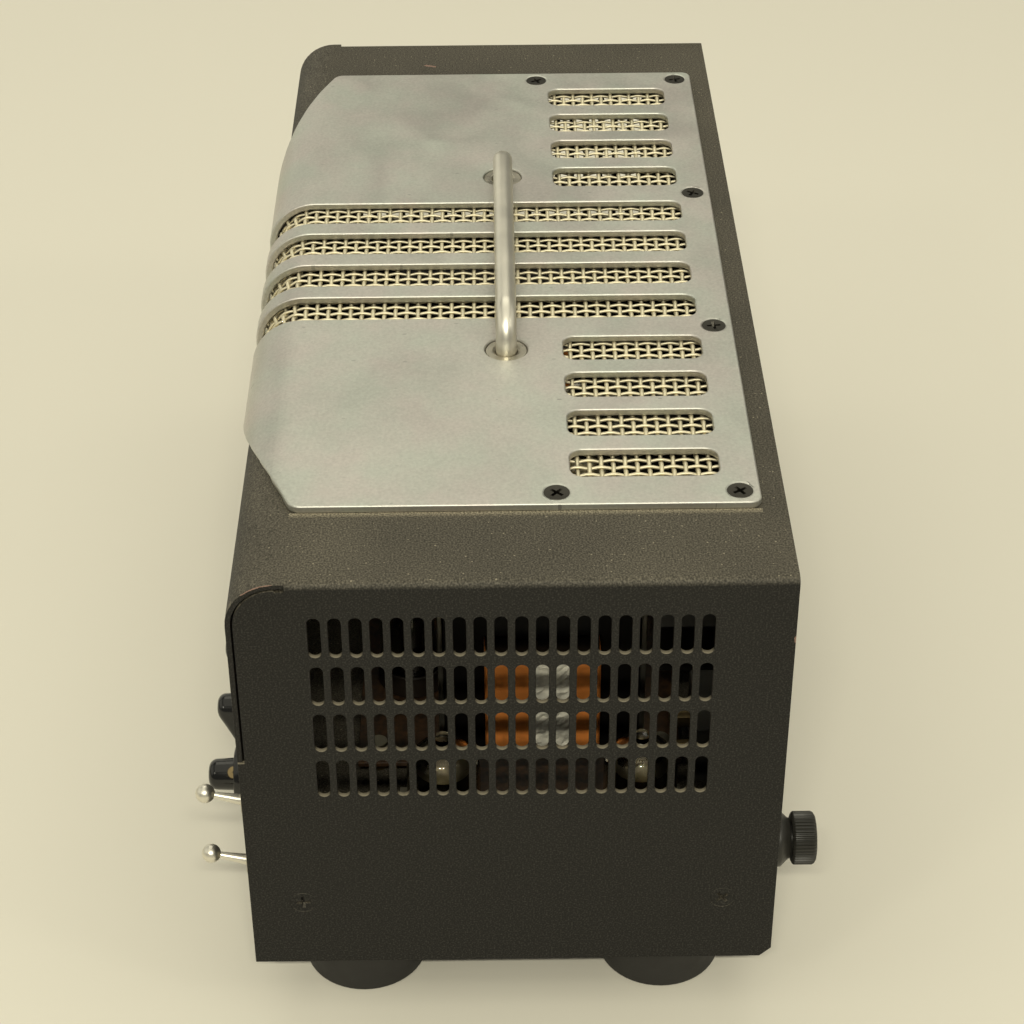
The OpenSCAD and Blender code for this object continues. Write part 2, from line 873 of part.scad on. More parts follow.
module wire_mesh() {
    color(bright_metal) {
        for (side = [-1, 1])
            up(top_z - mesh_t, mesh_t)
                translate([side * (side_in + side_out) / 2, (window_back + window_front) / 2])
                    net(side_out - side_in - 2 * fit, window_back - window_front - 2 * fit);
        up(top_z - mesh_t, mesh_t)
            translate([0, (window_back + roll_y) / 2])
                net(2 * (mid_x - fit), window_back - roll_y - 2 * fit);
        across(2 * (mid_x - fit)) intersection() {
            wrap(0, mesh_t, window_back, window_low + fit);
            translate([front_y, base_z]) square([front_r, case_h]);
        }
    }
}

module grille_screws() {
    color(black_screw) at_grille_screws() flat_screw(screw_l);
}

module cover_screws() {
    color(black_screw) at_cover_screws() flat_screw(screw_l);
}

// Bush of one leg: a head in the plate, a sleeve through the cover and a flange swaged under it
module handle_bushings() {
    color(bright_metal) at_legs() difference() {
        union() {
            translate([0, 0, top_z]) cylinder(r = bush_head_r, h = grille_t - bush_sunk);
            translate([0, 0, bush_low]) cylinder(r = bush_r, h = top_z - bush_low);
            translate([0, 0, top_z - cover_t - bush_flange_t]) cylinder(r = bush_head_r, h = bush_flange_t);
        }
        translate([0, 0, bush_low - cut])
            cylinder(r = rod_r + run_clear, h = plate_top - bush_low + 2 * cut);
        translate([0, 0, plate_top - bush_sunk - bush_mouth])
            cylinder(r1 = rod_r + run_clear, r2 = rod_r + run_clear + bush_mouth, h = bush_mouth);
    }
}

module handle_rod() {
    straight = leg_x - handle_bend_r;
    leg_low = collar_top - collar_h - leg_end;
    color(bright_metal) {
        translate([-straight, 0, rod_z]) rotate([0, 90, 0]) cylinder(r = rod_r, h = 2 * straight);
        for (side = [0, 1])
            mirror([side, 0, 0]) {
                translate([straight, 0, rod_z - handle_bend_r]) rotate([90, 0, 0])
                    rotate_extrude(angle = 90) translate([handle_bend_r, 0]) circle(rod_r);
                translate([leg_x, 0, leg_low]) cylinder(r = rod_r, h = rod_z - handle_bend_r - leg_low);
            }
    }
}

module handle_collars() {
    color(plate_grey) at_legs() translate([0, 0, collar_top - collar_h])
        difference() {
            cylinder(r = collar_r, h = collar_h);
            translate([0, 0, -cut]) cylinder(r = rod_r + run_clear, h = collar_h + 2 * cut);
        }
}

module rubber_feet() {
    color(rubber_black) for (p = feet_at)
        translate([p[0], p[1], 0]) difference() {
            cylinder(d1 = foot_floor_d, d2 = foot_d, h = foot_h);
            translate([0, 0, -cut]) cylinder(r = foot_recess_r, h = foot_recess_h + cut);
            translate([0, 0, -cut]) cylinder(r = foot_screw_r + hole_clear, h = foot_h + 2 * cut);
        }
}

// Screw with its washer up through a foot, and the nut inside the tray
module foot_screws() {
    shank_top = floor_z + nut_h + 1.2;
    color(bright_metal) for (p = feet_at)
        translate([p[0], p[1], 0]) {
            translate([0, 0, foot_recess_h - washer_t]) cylinder(r = washer_r, h = washer_t);
            translate([0, 0, foot_recess_h - washer_t - foot_head_h])
                cylinder(r = foot_head_r, h = foot_head_h);
            translate([0, 0, foot_recess_h - washer_t])
                cylinder(r = foot_screw_r, h = shank_top - foot_recess_h + washer_t);
            translate([0, 0, floor_z]) difference() {
                cylinder(r = nut_r, h = nut_h, $fn = 6);
                translate([0, 0, -cut]) cylinder(r = foot_screw_r + run_clear, h = nut_h + 2 * cut);
            }
        }
}

// Outline of a knob's pointer bar in X and Z, pointing up
module pointer_outline() {
    tip = pointer_l - tip_r;
    translate([0, -tail_back]) circle(tail_r);
    translate([0, tip]) circle(tip_r);
    polygon([[-tail_r, -tail_back], [tail_r, -tail_back], [tip_r, tip], [-tip_r, tip]]);
}

// Side of the pointer bar in Y and Z: level over the shaft, then falling towards the tip
module bar_side() {
    base_y = front_y - knob_lift;
    back = -tail_back - tail_r;
    polygon([
        [base_y, back], [knob_top_y, back], [knob_top_y, bar_level],
        [knob_top_y + bar_fall, pointer_l], [base_y, pointer_l]
    ]);
}

// Pointer knob: a coned skirt under a tapered bar, bored for the shaft, with a screw hole in its tail
module knob(k) {
    base_y = front_y - knob_lift;
    color(knob_black) at_knob(k) rotate([0, knob_rest[k - 1], 0]) difference() {
        union() {
            translate([0, base_y, 0]) rotate([90, 0, 0])
                cylinder(r1 = skirt_d / 2, r2 = skirt_top_r, h = skirt_h);
            intersection() {
                through(knob_top_y, knob_h) pointer_outline();
                across(2 * tail_r) bar_side();
            }
        }
        bar_y(knob_pocket_r, base_y - knob_pocket_h, base_y + cut);
        bar_y(shaft_r + run_clear, knob_top_y + shaft_cover, base_y);
        translate([0, set_screw_y, 0]) rotate([180, 0, 0])
            cylinder(r = set_screw_r, h = tail_back + tail_r + cut);
    }
}

module pot_shaft(k) {
    color(satin_metal) at_knob(k)
        bar_y(shaft_r, knob_top_y + shaft_cover + fit, inner_front + shaft_in);
}

module pot_bodies() {
    color(plate_grey) at_knobs() difference() {
        union() {
            bar_y(pot_r, inner_front, inner_front + pot_l);
            bar_y(bushing_r, front_y - bushing_l, inner_front);
        }
        bar_y(shaft_r + run_clear, front_y - bushing_l - cut, inner_front + shaft_in + fit);
    }
}

module pot_nuts() {
    color(bright_metal) at_knobs() difference() {
        hex_y(pot_nut_r, front_y - pot_nut_t, front_y);
        bar_y(bushing_r + run_clear, front_y - pot_nut_t - cut, front_y + cut);
    }
}

// Lever with its pivot ball and its tip ball, tipped up at rest
module toggle_lever(side) {
    color(bright_metal) translate([toggle_x, pivot_y, toggle_mid + side * toggle_pitch / 2])
        rotate([-lever_tilt, 0, 0]) {
            sphere(pivot_r);
            rotate([0, 90, 0]) cylinder(r = trunnion_r, h = 2 * (pivot_r + trunnion_rise), center = true);
            rotate([90, 0, 0]) cylinder(r = lever_r, h = lever_l);
            translate([0, -lever_l, 0]) sphere(ball_d / 2);
        }
}

module power_lever() {
    toggle_lever(1);
}

module standby_lever() {
    toggle_lever(-1);
}

module toggle_bodies() {
    color(bright_metal) at_toggles() difference() {
        union() {
            bar_y(toggle_bush_r, front_y - toggle_bush_l, inner_front);
            translate([-toggle_body[0] / 2, inner_front, -toggle_body[2] / 2]) cube(toggle_body);
        }
        bar_y(toggle_bore_r, front_y - toggle_bush_l - cut, pivot_y + pivot_r + play);
    }
}

module toggle_nuts() {
    color(bright_metal) at_toggles() difference() {
        hex_y(toggle_nut_r, front_y - toggle_nut_t, front_y);
        bar_y(toggle_bush_r + run_clear, front_y - toggle_nut_t - cut, front_y + cut);
    }
}

// Jack socket on the front, as it sits behind the panel
module jack() {
    difference() {
        union() {
            bar_y(jack_bush_r, front_y - jack_bush_l, inner_front);
            translate([-jack_body / 2, inner_front, -jack_body / 2])
                cube([jack_body, jack_body_l, jack_body]);
        }
        bar_y(jack_r, front_y - jack_bush_l - cut, inner_front + jack_bore_l);
    }
}

module jack_nut() {
    difference() {
        hex_y(jack_nut_r, front_y - jack_nut_t, front_y);
        bar_y(jack_bush_r + run_clear, front_y - jack_nut_t - cut, front_y + cut);
    }
}

module input_jack() {
    color(knob_black) translate([input_x, 0, knob_z]) jack();
}

module speaker_jacks() {
    color(knob_black) at_rear(speaker_x, socket_z) jack();
}

module loop_jacks() {
    color(knob_black) at_rear(loop_x, socket_z) jack();
}

module jack_nuts() {
    color(bright_metal) {
        translate([input_x, 0, knob_z]) jack_nut();
        at_rear(concat(speaker_x, loop_x), socket_z) jack_nut();
    }
}

module pilot_bezel() {
    color(bright_metal) translate([pilot_x, 0, knob_z]) difference() {
        union() {
            bar_y(pilot_rim_r, front_y - pilot_rim_h, front_y);
            bar_y(pilot_r + pilot_wall, front_y, inner_front + pilot_l);
        }
        bar_y(pilot_r, front_y - pilot_rim_h - cut, inner_front + pilot_l - pilot_wall);
    }
}

// Lens with a low domed face
module pilot_jewel() {
    lens_r = pilot_r - run_clear;
    lens_y = front_y - pilot_rim_h;
    color(jewel_red) translate([pilot_x, 0, knob_z]) intersection() {
        bar_y(lens_r, lens_y - lens_dome_h - cut, inner_front);
        translate([0, lens_y - lens_dome_h + lens_dome_r, 0]) sphere(lens_dome_r);
    }
}

module fuse_holder() {
    color(knob_black) translate([fuse_x, 0, fuse_z]) difference() {
        union() {
            bar_y(fuse_flange_r, back_y, back_y + fuse_flange_t);
            translate([0, back_y + fuse_flange_t, 0]) rotate([-90, 0, 0])
                cylinder(r1 = fuse_flange_r, r2 = fuse_neck_r, h = fuse_cone_t);
            bar_y(fuse_neck_r, back_y, back_y + fuse_neck_l);
            bar_y(fuse_body_r, inner_back - fuse_body_l, back_y);
        }
        bar_y(fuse_stem_r + run_clear, cap_y - fuse_stem_l - fit, back_y + fuse_neck_l + cut);
        bar_y(fuse_r + fit, cap_y - fuse_stem_l - fuse_l - fit, back_y);
    }
}

module fuse_nut() {
    color(knob_black) translate([fuse_x, 0, fuse_z]) difference() {
        hex_y(fuse_nut_r, inner_back - fuse_nut_t, inner_back);
        bar_y(fuse_body_r + run_clear, inner_back - fuse_nut_t - cut, inner_back + cut);
    }
}

module fuse_cap() {
    color(knob_black) translate([fuse_x, 0, fuse_z]) {
        bar_y(fuse_cap_d / 2, cap_y, cap_y + fuse_cap_l);
        bar_y(fuse_stem_r, cap_y - fuse_stem_l, cap_y);
    }
}

module fuse() {
    color(glass_clear) translate([fuse_x, 0, fuse_z])
        bar_y(fuse_r, cap_y - fuse_stem_l - fuse_l, cap_y - fuse_stem_l);
}

// Mains inlet: a flange outside, a cup through the panel and slits for three pins in its floor
module mains_inlet() {
    floor_y = inner_back - inlet_l;
    color(knob_black) translate([inlet_x, 0, socket_z]) difference() {
        union() {
            through(back_y, inlet_flange_t) square([inlet_flange_w, inlet_flange_h], center = true);
            through(floor_y, back_y - floor_y) square([inlet_w, inlet_h], center = true);
        }
        through(floor_y + inlet_floor, back_y - floor_y)
            square([inlet_w - 2 * inlet_wall, inlet_h - 2 * inlet_wall], center = true);
        pin_places() through(floor_y - cut, inlet_floor + 2 * cut)
            square([pin_w + 2 * hole_clear, pin_h + 2 * hole_clear], center = true);
        for (side = [-1, 1])
            translate([side * inlet_screw_x, back_y + inlet_flange_t, 0]) rotate([-90, 0, 0]) flat_hole();
    }
}

module pin_places() {
    for (x = [-1, 0, 1])
        translate([x * pin_spread, 0, x == 0 ? pin_drop : -pin_drop]) children();
}

module inlet_pins() {
    floor_y = inner_back - inlet_l;
    color(brass_gold) translate([inlet_x, 0, socket_z]) pin_places()
        through(floor_y - pin_tail, pin_tail + inlet_floor + pin_l)
            square([pin_w, pin_h], center = true);
}

module inlet_screws() {
    color(black_screw) for (side = [-1, 1])
        translate([inlet_x + side * inlet_screw_x, back_y + inlet_flange_t, socket_z])
            rotate([-90, 0, 0]) flat_screw(screw_l);
}

// Board with a waist between the feet of the output transformer's frame
module main_board() {
    color(board_brown) up(board_z, board_t) difference() {
        polygon([
            [board_left, board_front], [waist_left, board_front], [waist_left, waist_front],
            [waist_right, waist_front], [waist_right, board_front], [board_right, board_front],
            [board_right, board_back], [waist_right, board_back], [waist_right, waist_back],
            [waist_left, waist_back], [waist_left, board_back], [board_left, board_back]
        ]);
        for (p = spacers_at)
            translate([p[0], p[1]]) circle(board_screw_r + hole_clear);
    }
}

module board_standoffs() {
    color(brass_gold) for (p = spacers_at)
        translate([p[0], p[1], floor_z]) difference() {
            cylinder(r = spacer_r, h = board_lift, $fn = 6);
            translate([0, 0, -cut]) cylinder(r = board_screw_r + run_clear, h = board_lift + 2 * cut);
        }
}

module board_screws() {
    color(bright_metal) for (p = spacers_at)
        translate([p[0], p[1], deck_z]) {
            cylinder(r = board_head_r, h = board_head_h);
            translate([0, 0, cut - board_t - board_lift])
                cylinder(r = board_screw_r, h = board_t + board_lift - cut);
        }
}

module tube_sockets() {
    color(knob_black) for (p = concat(preamp_at, power_at))
        translate([p[0], p[1], deck_z]) cylinder(r = tube_base_r, h = tube_base_h);
}

// Valve glass: a straight wall with a round dome and the drawn tip on it
module tube_glass(d, h) {
    r = d / 2;
    difference() {
        union() {
            cylinder(r = r, h = h);
            translate([0, 0, h]) sphere(r);
            translate([0, 0, h + r - 1]) cylinder(r = tip_glass_r, h = tip_glass_h);
        }
        translate([0, 0, glass_floor]) cylinder(r = r - glass_t, h = h - glass_floor);
        translate([0, 0, h]) sphere(r - glass_t);
        translate([0, 0, -r]) cylinder(r = r + cut, h = r);
    }
}

module preamp_tubes() {
    color(glass_clear) for (p = preamp_at)
        translate([p[0], p[1], seat_z]) tube_glass(small_tube_d, small_tube_h);
}

module power_tubes() {
    color(glass_clear) for (p = power_at)
        translate([p[0], p[1], seat_z]) tube_glass(power_tube_d, power_tube_h);
}

// Electrodes of a valve: an anode box between two mica discs, on two support rods
module tube_plate(d, h) {
    mica_r = d / 2 - glass_t - fit;
    foot = 5;
    plate_h = h - glass_floor - foot - 3;
    translate([0, 0, glass_floor]) {
        for (side = [-1, 1])
            translate([side * d / 5, 0, 0]) cylinder(r = 0.7, h = plate_h + foot);
        translate([0, 0, foot + plate_h / 2]) cube([d / 2, d / 3, plate_h], center = true);
        for (z = [foot, foot + plate_h])
            translate([0, 0, z - mica_t / 2]) cylinder(r = mica_r, h = mica_t);
    }
}

module tube_plates() {
    color(plate_grey) {
        for (p = preamp_at)
            translate([p[0], p[1], seat_z]) tube_plate(small_tube_d, small_tube_h);
        for (p = power_at)
            translate([p[0], p[1], seat_z]) tube_plate(power_tube_d, power_tube_h);
    }
}

module filter_capacitors() {
    color(can_blue) for (p = cans_at)
        translate([p[0], p[1], deck_z]) cylinder(r = can_r, h = can_h);
}

// Core in Y and Z: three legs and two windows, its low edge at Z = 0
module core_outline(tongue, window_w, window_h, leg) {
    w = tongue + 2 * window_w + 2 * leg;
    difference() {
        translate([-w / 2, 0]) square([w, window_h + 2 * leg]);
        for (side = [-1, 1])
            translate([side * (tongue + window_w) / 2, leg + window_h / 2])
                square([window_w, window_h], center = true);
    }
}

// Winding round the tongue, its low edge at Z = 0
module winding(stack, bulge, tongue, window_w, window_h) {
    linear_extrude(window_h - 2 * fit) difference() {
        round_rect(stack + 2 * bulge, tongue + 2 * (window_w - fit), winding_r);
        square([stack + 2 * fit, tongue + 2 * fit], center = true);
    }
}

module output_core() {
    color(core_grey) translate([output_x, output_y, output_low]) across(output_stack)
        core_outline(output_tongue, output_window_w, output_window_h, output_leg);
}

module output_coil() {
    color(coil_orange) translate([output_x, output_y, output_low + output_leg + fit])
        winding(output_stack, output_bulge, output_tongue, output_window_w, output_window_h);
}

// Frame round the core, on two legs with feet on the tray
module output_frame() {
    inner = output_w / 2 + fit;
    lift = output_low - floor_z;
    color(plate_grey) translate([output_x, output_y, 0]) difference() {
        across(strap_w) {
            translate([-inner - strap_t, output_low - strap_t]) square([2 * (inner + strap_t), strap_t]);
            translate([-inner - strap_t, output_low + output_h + fit])
                square([2 * (inner + strap_t), strap_t]);
            for (side = [-1, 1]) {
                translate([side * (inner + strap_t / 2) - strap_t / 2, floor_z])
                    square([strap_t, lift + output_h + fit + strap_t]);
                translate([side * (inner + (strap_t + strap_foot) / 2), floor_z + strap_t / 2])
                    square([strap_foot + strap_t, strap_t], center = true);
            }
        }
        for (side = [-1, 1])
            translate([0, side * output_strap_y, floor_z - cut])
                cylinder(r = strap_screw_r + hole_clear, h = strap_t + 2 * cut);
    }
}

// Core of the mains transformer, with the feet of its end plates on the tray
module mains_core() {
    color(core_grey) translate([mains_x, mains_y, floor_z]) difference() {
        union() {
            across(mains_stack) core_outline(mains_tongue, mains_window_w, mains_window_h, mains_leg);
            for (side = [-1, 1])
                translate([0, side * mains_strap_y, mains_foot_t / 2])
                    cube([mains_stack, mains_foot + fit, mains_foot_t], center = true);
        }
        for (side = [-1, 1])
            translate([0, side * mains_strap_y, -cut])
                cylinder(r = strap_screw_r + hole_clear, h = mains_foot_t + 2 * cut);
    }
}

module mains_coil() {
    color(coil_orange) translate([mains_x, mains_y, floor_z + mains_leg + fit])
        winding(mains_stack, mains_bulge, mains_tongue, mains_window_w, mains_window_h);
}

// Screws down through the feet of both transformers and the bottom of the tray
module transformer_screws() {
    color(bright_metal) for (p = transformer_screws_at)
        translate([p[0], p[1], floor_z + p[2]]) {
            cylinder(r = strap_head_r, h = strap_head_h);
            translate([0, 0, -p[2] - tray_t]) cylinder(r = strap_screw_r, h = p[2] + tray_t);
        }
}

chassis_tray();
cover();
top_grille();
wire_mesh();
grille_screws();
cover_screws();
handle_bushings();
handle_rod();
handle_collars();
rubber_feet();
foot_screws();
knob(1);  // knob_1
knob(2);  // knob_2
knob(3);  // knob_3
knob(4);  // knob_4
knob(5);  // knob_5
knob(6);  // knob_6
knob(7);  // knob_7
knob(8);  // knob_8
pot_shaft(1);  // pot_shaft_1
pot_shaft(2);  // pot_shaft_2
pot_shaft(3);  // pot_shaft_3
pot_shaft(4);  // pot_shaft_4
pot_shaft(5);  // pot_shaft_5
pot_shaft(6);  // pot_shaft_6
pot_shaft(7);  // pot_shaft_7
pot_shaft(8);  // pot_shaft_8
pot_bodies();
pot_nuts();
power_lever();
standby_lever();
toggle_bodies();
toggle_nuts();
input_jack();
pilot_bezel();
pilot_jewel();
fuse_holder();
fuse_nut();
fuse_cap();
fuse();
mains_inlet();
inlet_pins();
inlet_screws();
speaker_jacks();
loop_jacks();
jack_nuts();
main_board();
board_standoffs();
board_screws();
tube_sockets();
preamp_tubes();
power_tubes();
tube_plates();
filter_capacitors();
output_core();
output_coil();
output_frame();
mains_core();
mains_coil();
transformer_screws();
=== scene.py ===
"""Compact valve guitar amplifier head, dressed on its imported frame: a folded steel case with slotted
ends, a satin aluminium grille plate over woven wire, a pull-up handle, pointer knobs and toggles."""
import json
import math
import random

import bmesh
import bpy
from bpy.props import FloatProperty, FloatVectorProperty, IntProperty, PointerProperty
from mathutils import Matrix, Vector
from mathutils.geometry import delaunay_2d_cdt


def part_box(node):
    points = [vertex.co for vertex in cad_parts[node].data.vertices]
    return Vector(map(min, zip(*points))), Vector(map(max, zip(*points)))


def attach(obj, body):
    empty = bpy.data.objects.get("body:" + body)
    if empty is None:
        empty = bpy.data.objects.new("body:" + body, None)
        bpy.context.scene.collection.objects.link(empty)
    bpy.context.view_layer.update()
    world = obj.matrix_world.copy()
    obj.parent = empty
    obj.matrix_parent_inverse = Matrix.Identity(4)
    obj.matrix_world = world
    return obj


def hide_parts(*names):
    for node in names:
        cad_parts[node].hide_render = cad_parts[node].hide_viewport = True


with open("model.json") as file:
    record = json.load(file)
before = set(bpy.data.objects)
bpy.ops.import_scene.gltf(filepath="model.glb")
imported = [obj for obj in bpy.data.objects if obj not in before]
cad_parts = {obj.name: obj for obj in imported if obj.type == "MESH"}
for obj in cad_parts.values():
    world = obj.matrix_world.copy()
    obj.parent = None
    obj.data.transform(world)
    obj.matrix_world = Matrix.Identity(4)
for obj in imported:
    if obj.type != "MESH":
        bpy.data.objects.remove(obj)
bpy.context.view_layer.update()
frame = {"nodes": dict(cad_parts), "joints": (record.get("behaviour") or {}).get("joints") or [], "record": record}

bl_info = {
    "name": "Valve amplifier head",
    "version": (1, 0, 0),
    "blender": (4, 5, 0),
    "location": "View3D > Sidebar > Amplifier",
    "description": "Dresses the frame of a compact valve guitar amplifier head",
    "category": "Add Mesh",
}

MM = 0.001
CASE = "case"

# Places that the frame gives
CASE_LOW, CASE_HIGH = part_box("cover")
PLATE_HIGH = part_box("top_grille")[1]
MESH_LOW, MESH_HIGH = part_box("wire_mesh")
# Roll of the cover's front edge: its radius and its axis
ROLL_R = 13 * MM
ROLL_Y = CASE_LOW.y + ROLL_R
ROLL_Z = CASE_HIGH.z - ROLL_R
JOINTS = {joint["name"]: joint for joint in frame["joints"]}
NODE_SLOT = {part["node"]: part["material_slot"] for part in frame["record"]["subparts"]}
NODE_BODY = {
    node: body for body, nodes in frame["record"]["behaviour"]["bodies"].items() for node in nodes
}
KNOB_COUNT = sum(node.startswith("knob_") for node in NODE_SLOT)
# How far a control turns each way from its middle, in degrees
SWING = 150
# Corners closer than this are one corner, and corners of the CAD mesh a little further apart
NEAR = 0.001 * MM
CAD_NEAR = 0.002 * MM


def linear(hex_colour):
    """Linear RGBA of an sRGB hex colour."""
    shares = [int(hex_colour[i:i + 2], 16) / 255 for i in (1, 3, 5)]
    return tuple(c / 12.92 if c <= 0.04045 else ((c + 0.055) / 1.055) ** 2.4 for c in shares) + (1.0,)


def colour(name, words, hex_colour):
    """A colour that a user can change."""
    return FloatVectorProperty(
        name=name, description=words, subtype="COLOR", size=4, min=0, max=1, default=linear(hex_colour)
    )


def length(name, words, millimetres):
    """A length that a user can change."""
    return FloatProperty(
        name=name, description=words, subtype="DISTANCE", unit="LENGTH", min=0, precision=5,
        default=millimetres * MM,
    )


class AmpColours(bpy.types.PropertyGroup):
    paint: colour("Powder coat", "Fine-texture black powder coat of the case", "#191816")
    # Colour of the dust, used also for the painted sheen on faces that look up and the painted highlight on the
    # vents' lips
    dust_and_painted_light: colour("Dust", "Pale dust on faces that look up", "#B9AF98")
    primer: colour("Primer", "Primer that shows where the paint is chipped", "#8A7064")
    aluminium: colour("Aluminium", "Satin aluminium of the grille plate", "#C8C8C4")
    wire: colour("Wire", "Drawn wire of the woven mesh", "#EAE2C8")
    chrome: colour("Chrome", "Plating of the handle and the toggles", "#ECE8DC")
    nickel: colour("Nickel", "Plating of the nuts and bushes", "#BDB8AA")
    oxide: colour("Black oxide", "Finish of the screws in the mains inlet", "#1E1C1B")
    worn_oxide: colour("Worn oxide", "Rubbed finish of the screws on the plate", "#4C4A45")
    rubber: colour("Rubber", "Moulded rubber of the feet", "#1F1E1C")
    phenolic: colour("Phenolic", "Gloss moulding of the knobs", "#0B0B0B")
    brass: colour("Brass", "Set screws, pins and spacers", "#6F6248")
    tape: colour("Tape", "Varnished tape round the windings", "#EE9248")
    paper: colour("Paper", "Label on the output winding", "#FFFBEC")
    jewel: colour("Jewel", "Lens of the pilot lamp", "#B3190F")
    print_white: colour("Print", "Marks round the knobs", "#D9D6CC")
    floor: colour("Floor", "Studio floor", "#DEDACE")


class AmpSizes(bpy.types.PropertyGroup):
    plate_edge: length("Plate edge", "Rounding of the grille plate's edges", 0.5)
    sheet_edge: length("Sheet edge", "Rounding of the case's cut edges", 0.18)
    wire_pitch: length("Wire pitch", "Spacing of the woven wires", 3.3)
    warp_d: length("Warp wire", "Thickness of a wire that runs from end to end of the case", 1.2)
    weft_d: length("Weft wire", "Thickness of a wire that runs from front to rear", 0.95)
    knob_round: length("Knob rounding", "Rounding of a knob's upper edge", 2.4)
    screw_r: length("Screw radius", "Radius of a cross-head screw's face", 3.5)
    cap_ribs: IntProperty(name="Cap ribs", description="Ribs round the fuse cap", default=44, min=12, max=90)
    dial_ticks: IntProperty(name="Dial ticks", description="Marks round one knob", default=11, min=3, max=31)


# Nodes, materials


def feed(tree, node, inputs):
    """Sets a node's inputs, by name or in order: a node is linked by the first output that it has in use,
    a socket is linked as it is, and any other value is set."""
    for key, value in inputs.items() if isinstance(inputs, dict) else enumerate(inputs):
        if isinstance(value, bpy.types.Node):
            value = next(socket for socket in value.outputs if socket.enabled)
        if isinstance(value, bpy.types.NodeSocket):
            tree.links.new(value, node.inputs[key])
        else:
            node.inputs[key].default_value = value


def add(tree, kind, inputs=(), **settings):
    """Adds a node with its settings and its inputs; a kind without its family's name is a shader node."""
    made = tree.nodes.new(kind if "Node" in kind else "ShaderNode" + kind)
    for name, value in settings.items():
        setattr(made, name, value)
    feed(tree, made, inputs)
    return made


def start_material(name):
    """A new material with its tree, its shader and its Object coordinates."""
    made = bpy.data.materials.new(name)
    made.use_nodes = True
    tree = made.node_tree
    shader = tree.nodes["Principled BSDF"]
    return made, tree, shader, add(tree, "TexCoord").outputs["Object"]


def palette():
    return bpy.context.scene.amp_colours


def sizes():
    return bpy.context.scene.amp_sizes


def shade(rgba, factor):
    """The same colour, darker or lighter."""
    return tuple(min(1.0, c * factor) for c in rgba[:3]) + (1.0,)


def powder_coat():
    """Fine-texture powder coat on steel: near black, with a pebbled grain whose crests are painted lighter as a
    painted highlight, dust and a painted sheen where it looks up, a painted highlight on the vents' lower lips,
    and primer where it is chipped."""
    # The pebbles are near 0.3 mm across and are drawn at 0.5 mm, so that they show
    grain = 0.5 * MM
    made, tree, shader, place = start_material("powder_coat_black")
    pebble = add(tree, "TexNoise", {"Vector": place, "Scale": 1 / grain, "Detail": 1.0})
    cloud = add(tree, "TexNoise", {"Vector": place, "Scale": 1 / (45 * MM), "Detail": 3.0})
    # Crests of the pebbles are painted up to three times lighter: a painted highlight for the glints that they
    # catch
    crest_painted_glint = add(tree, "MapRange", (pebble, 0.5, 0.76, 0.0, 1.0))
    black = palette().paint
    paint = add(tree, "Mix", {0: crest_painted_glint, 6: shade(black, 0.7), 7: shade(black, 3.2)}, data_type="RGBA")
    # Loose specks up to 0.6 mm across, on one cell in four where the face looks up
    speck = add(tree, "TexVoronoi", {"Vector": place, "Scale": 1 / (2.4 * MM)}, voronoi_dimensions="2D")
    chance = add(tree, "SeparateColor", (speck.outputs["Color"],))
    radius = add(tree, "MapRange", (chance.outputs[0], 0.74, 1.0, 0.0, 0.11))
    dot = add(tree, "Math", (speck.outputs["Distance"], radius), operation="LESS_THAN")
    speckle = add(tree, "Math", (dot, 0.5), operation="MULTIPLY")
    facing = add(tree, "SeparateXYZ", (add(tree, "NewGeometry").outputs["Normal"],))
    # Faces that look up take a film that is partly dust and partly a painted sheen, which lightens the top and the
    # upper front of the roll
    upward_dust_and_sheen = add(tree, "MapRange", (facing.outputs["Z"], 0.2, 0.8, 0.0, 1.0))
    film = add(tree, "MapRange", (cloud, 0.35, 0.75, 0.09, 0.16))
    grainy = add(tree, "MapRange", (pebble, 0.3, 0.7, 0.4, 1.6))
    film = add(tree, "Math", (film, grainy), operation="MULTIPLY")
    # Real dust lines and specks, together with the painted highlight on the vents' lips and the painted sheen of
    # the film
    dust_and_painted_light = dust_lines_and_lit_lips(tree, place, pebble)
    for other in (speckle, film):
        dust_and_painted_light = add(tree, "Math", (dust_and_painted_light, other), operation="MAXIMUM")
    dust_and_painted_light_share = add(tree, "Math", (dust_and_painted_light, upward_dust_and_sheen), operation="MULTIPLY")
    top = add(tree, "Mix", {0: dust_and_painted_light_share, 6: paint, 7: palette().dust_and_painted_light}, data_type="RGBA")
    for start, end, width in CHIPS:
        run = end - start
        from_start = add(tree, "VectorMath", (place, start), operation="SUBTRACT")
        share = add(tree, "VectorMath", (from_start, run / run.length_squared), operation="DOT_PRODUCT")
        held = add(tree, "Clamp", (share,))
        nearest = add(tree, "VectorMath", {0: run, "Scale": held}, operation="SCALE")
        away = add(tree, "VectorMath", (from_start, nearest), operation="DISTANCE")
        ragged = add(tree, "Math", (pebble, -2 * width, away), operation="MULTIPLY_ADD")
        worn = add(tree, "MapRange", (ragged, -0.25 * width, 0.0, 0.9, 0.0))
        top = add(tree, "Mix", {0: worn, 6: top, 7: palette().primer}, data_type="RGBA")
    rough = add(tree, "MapRange", (pebble, 0.3, 0.7, 0.66, 0.52))
    bump = add(tree, "Bump", {"Height": pebble, "Strength": 0.7, "Distance": 0.16 * MM})
    feed(tree, shader, {
        "Base Color": top, "Roughness": rough, "Normal": bump, "Specular IOR Level": 0.3,
    })
    return made


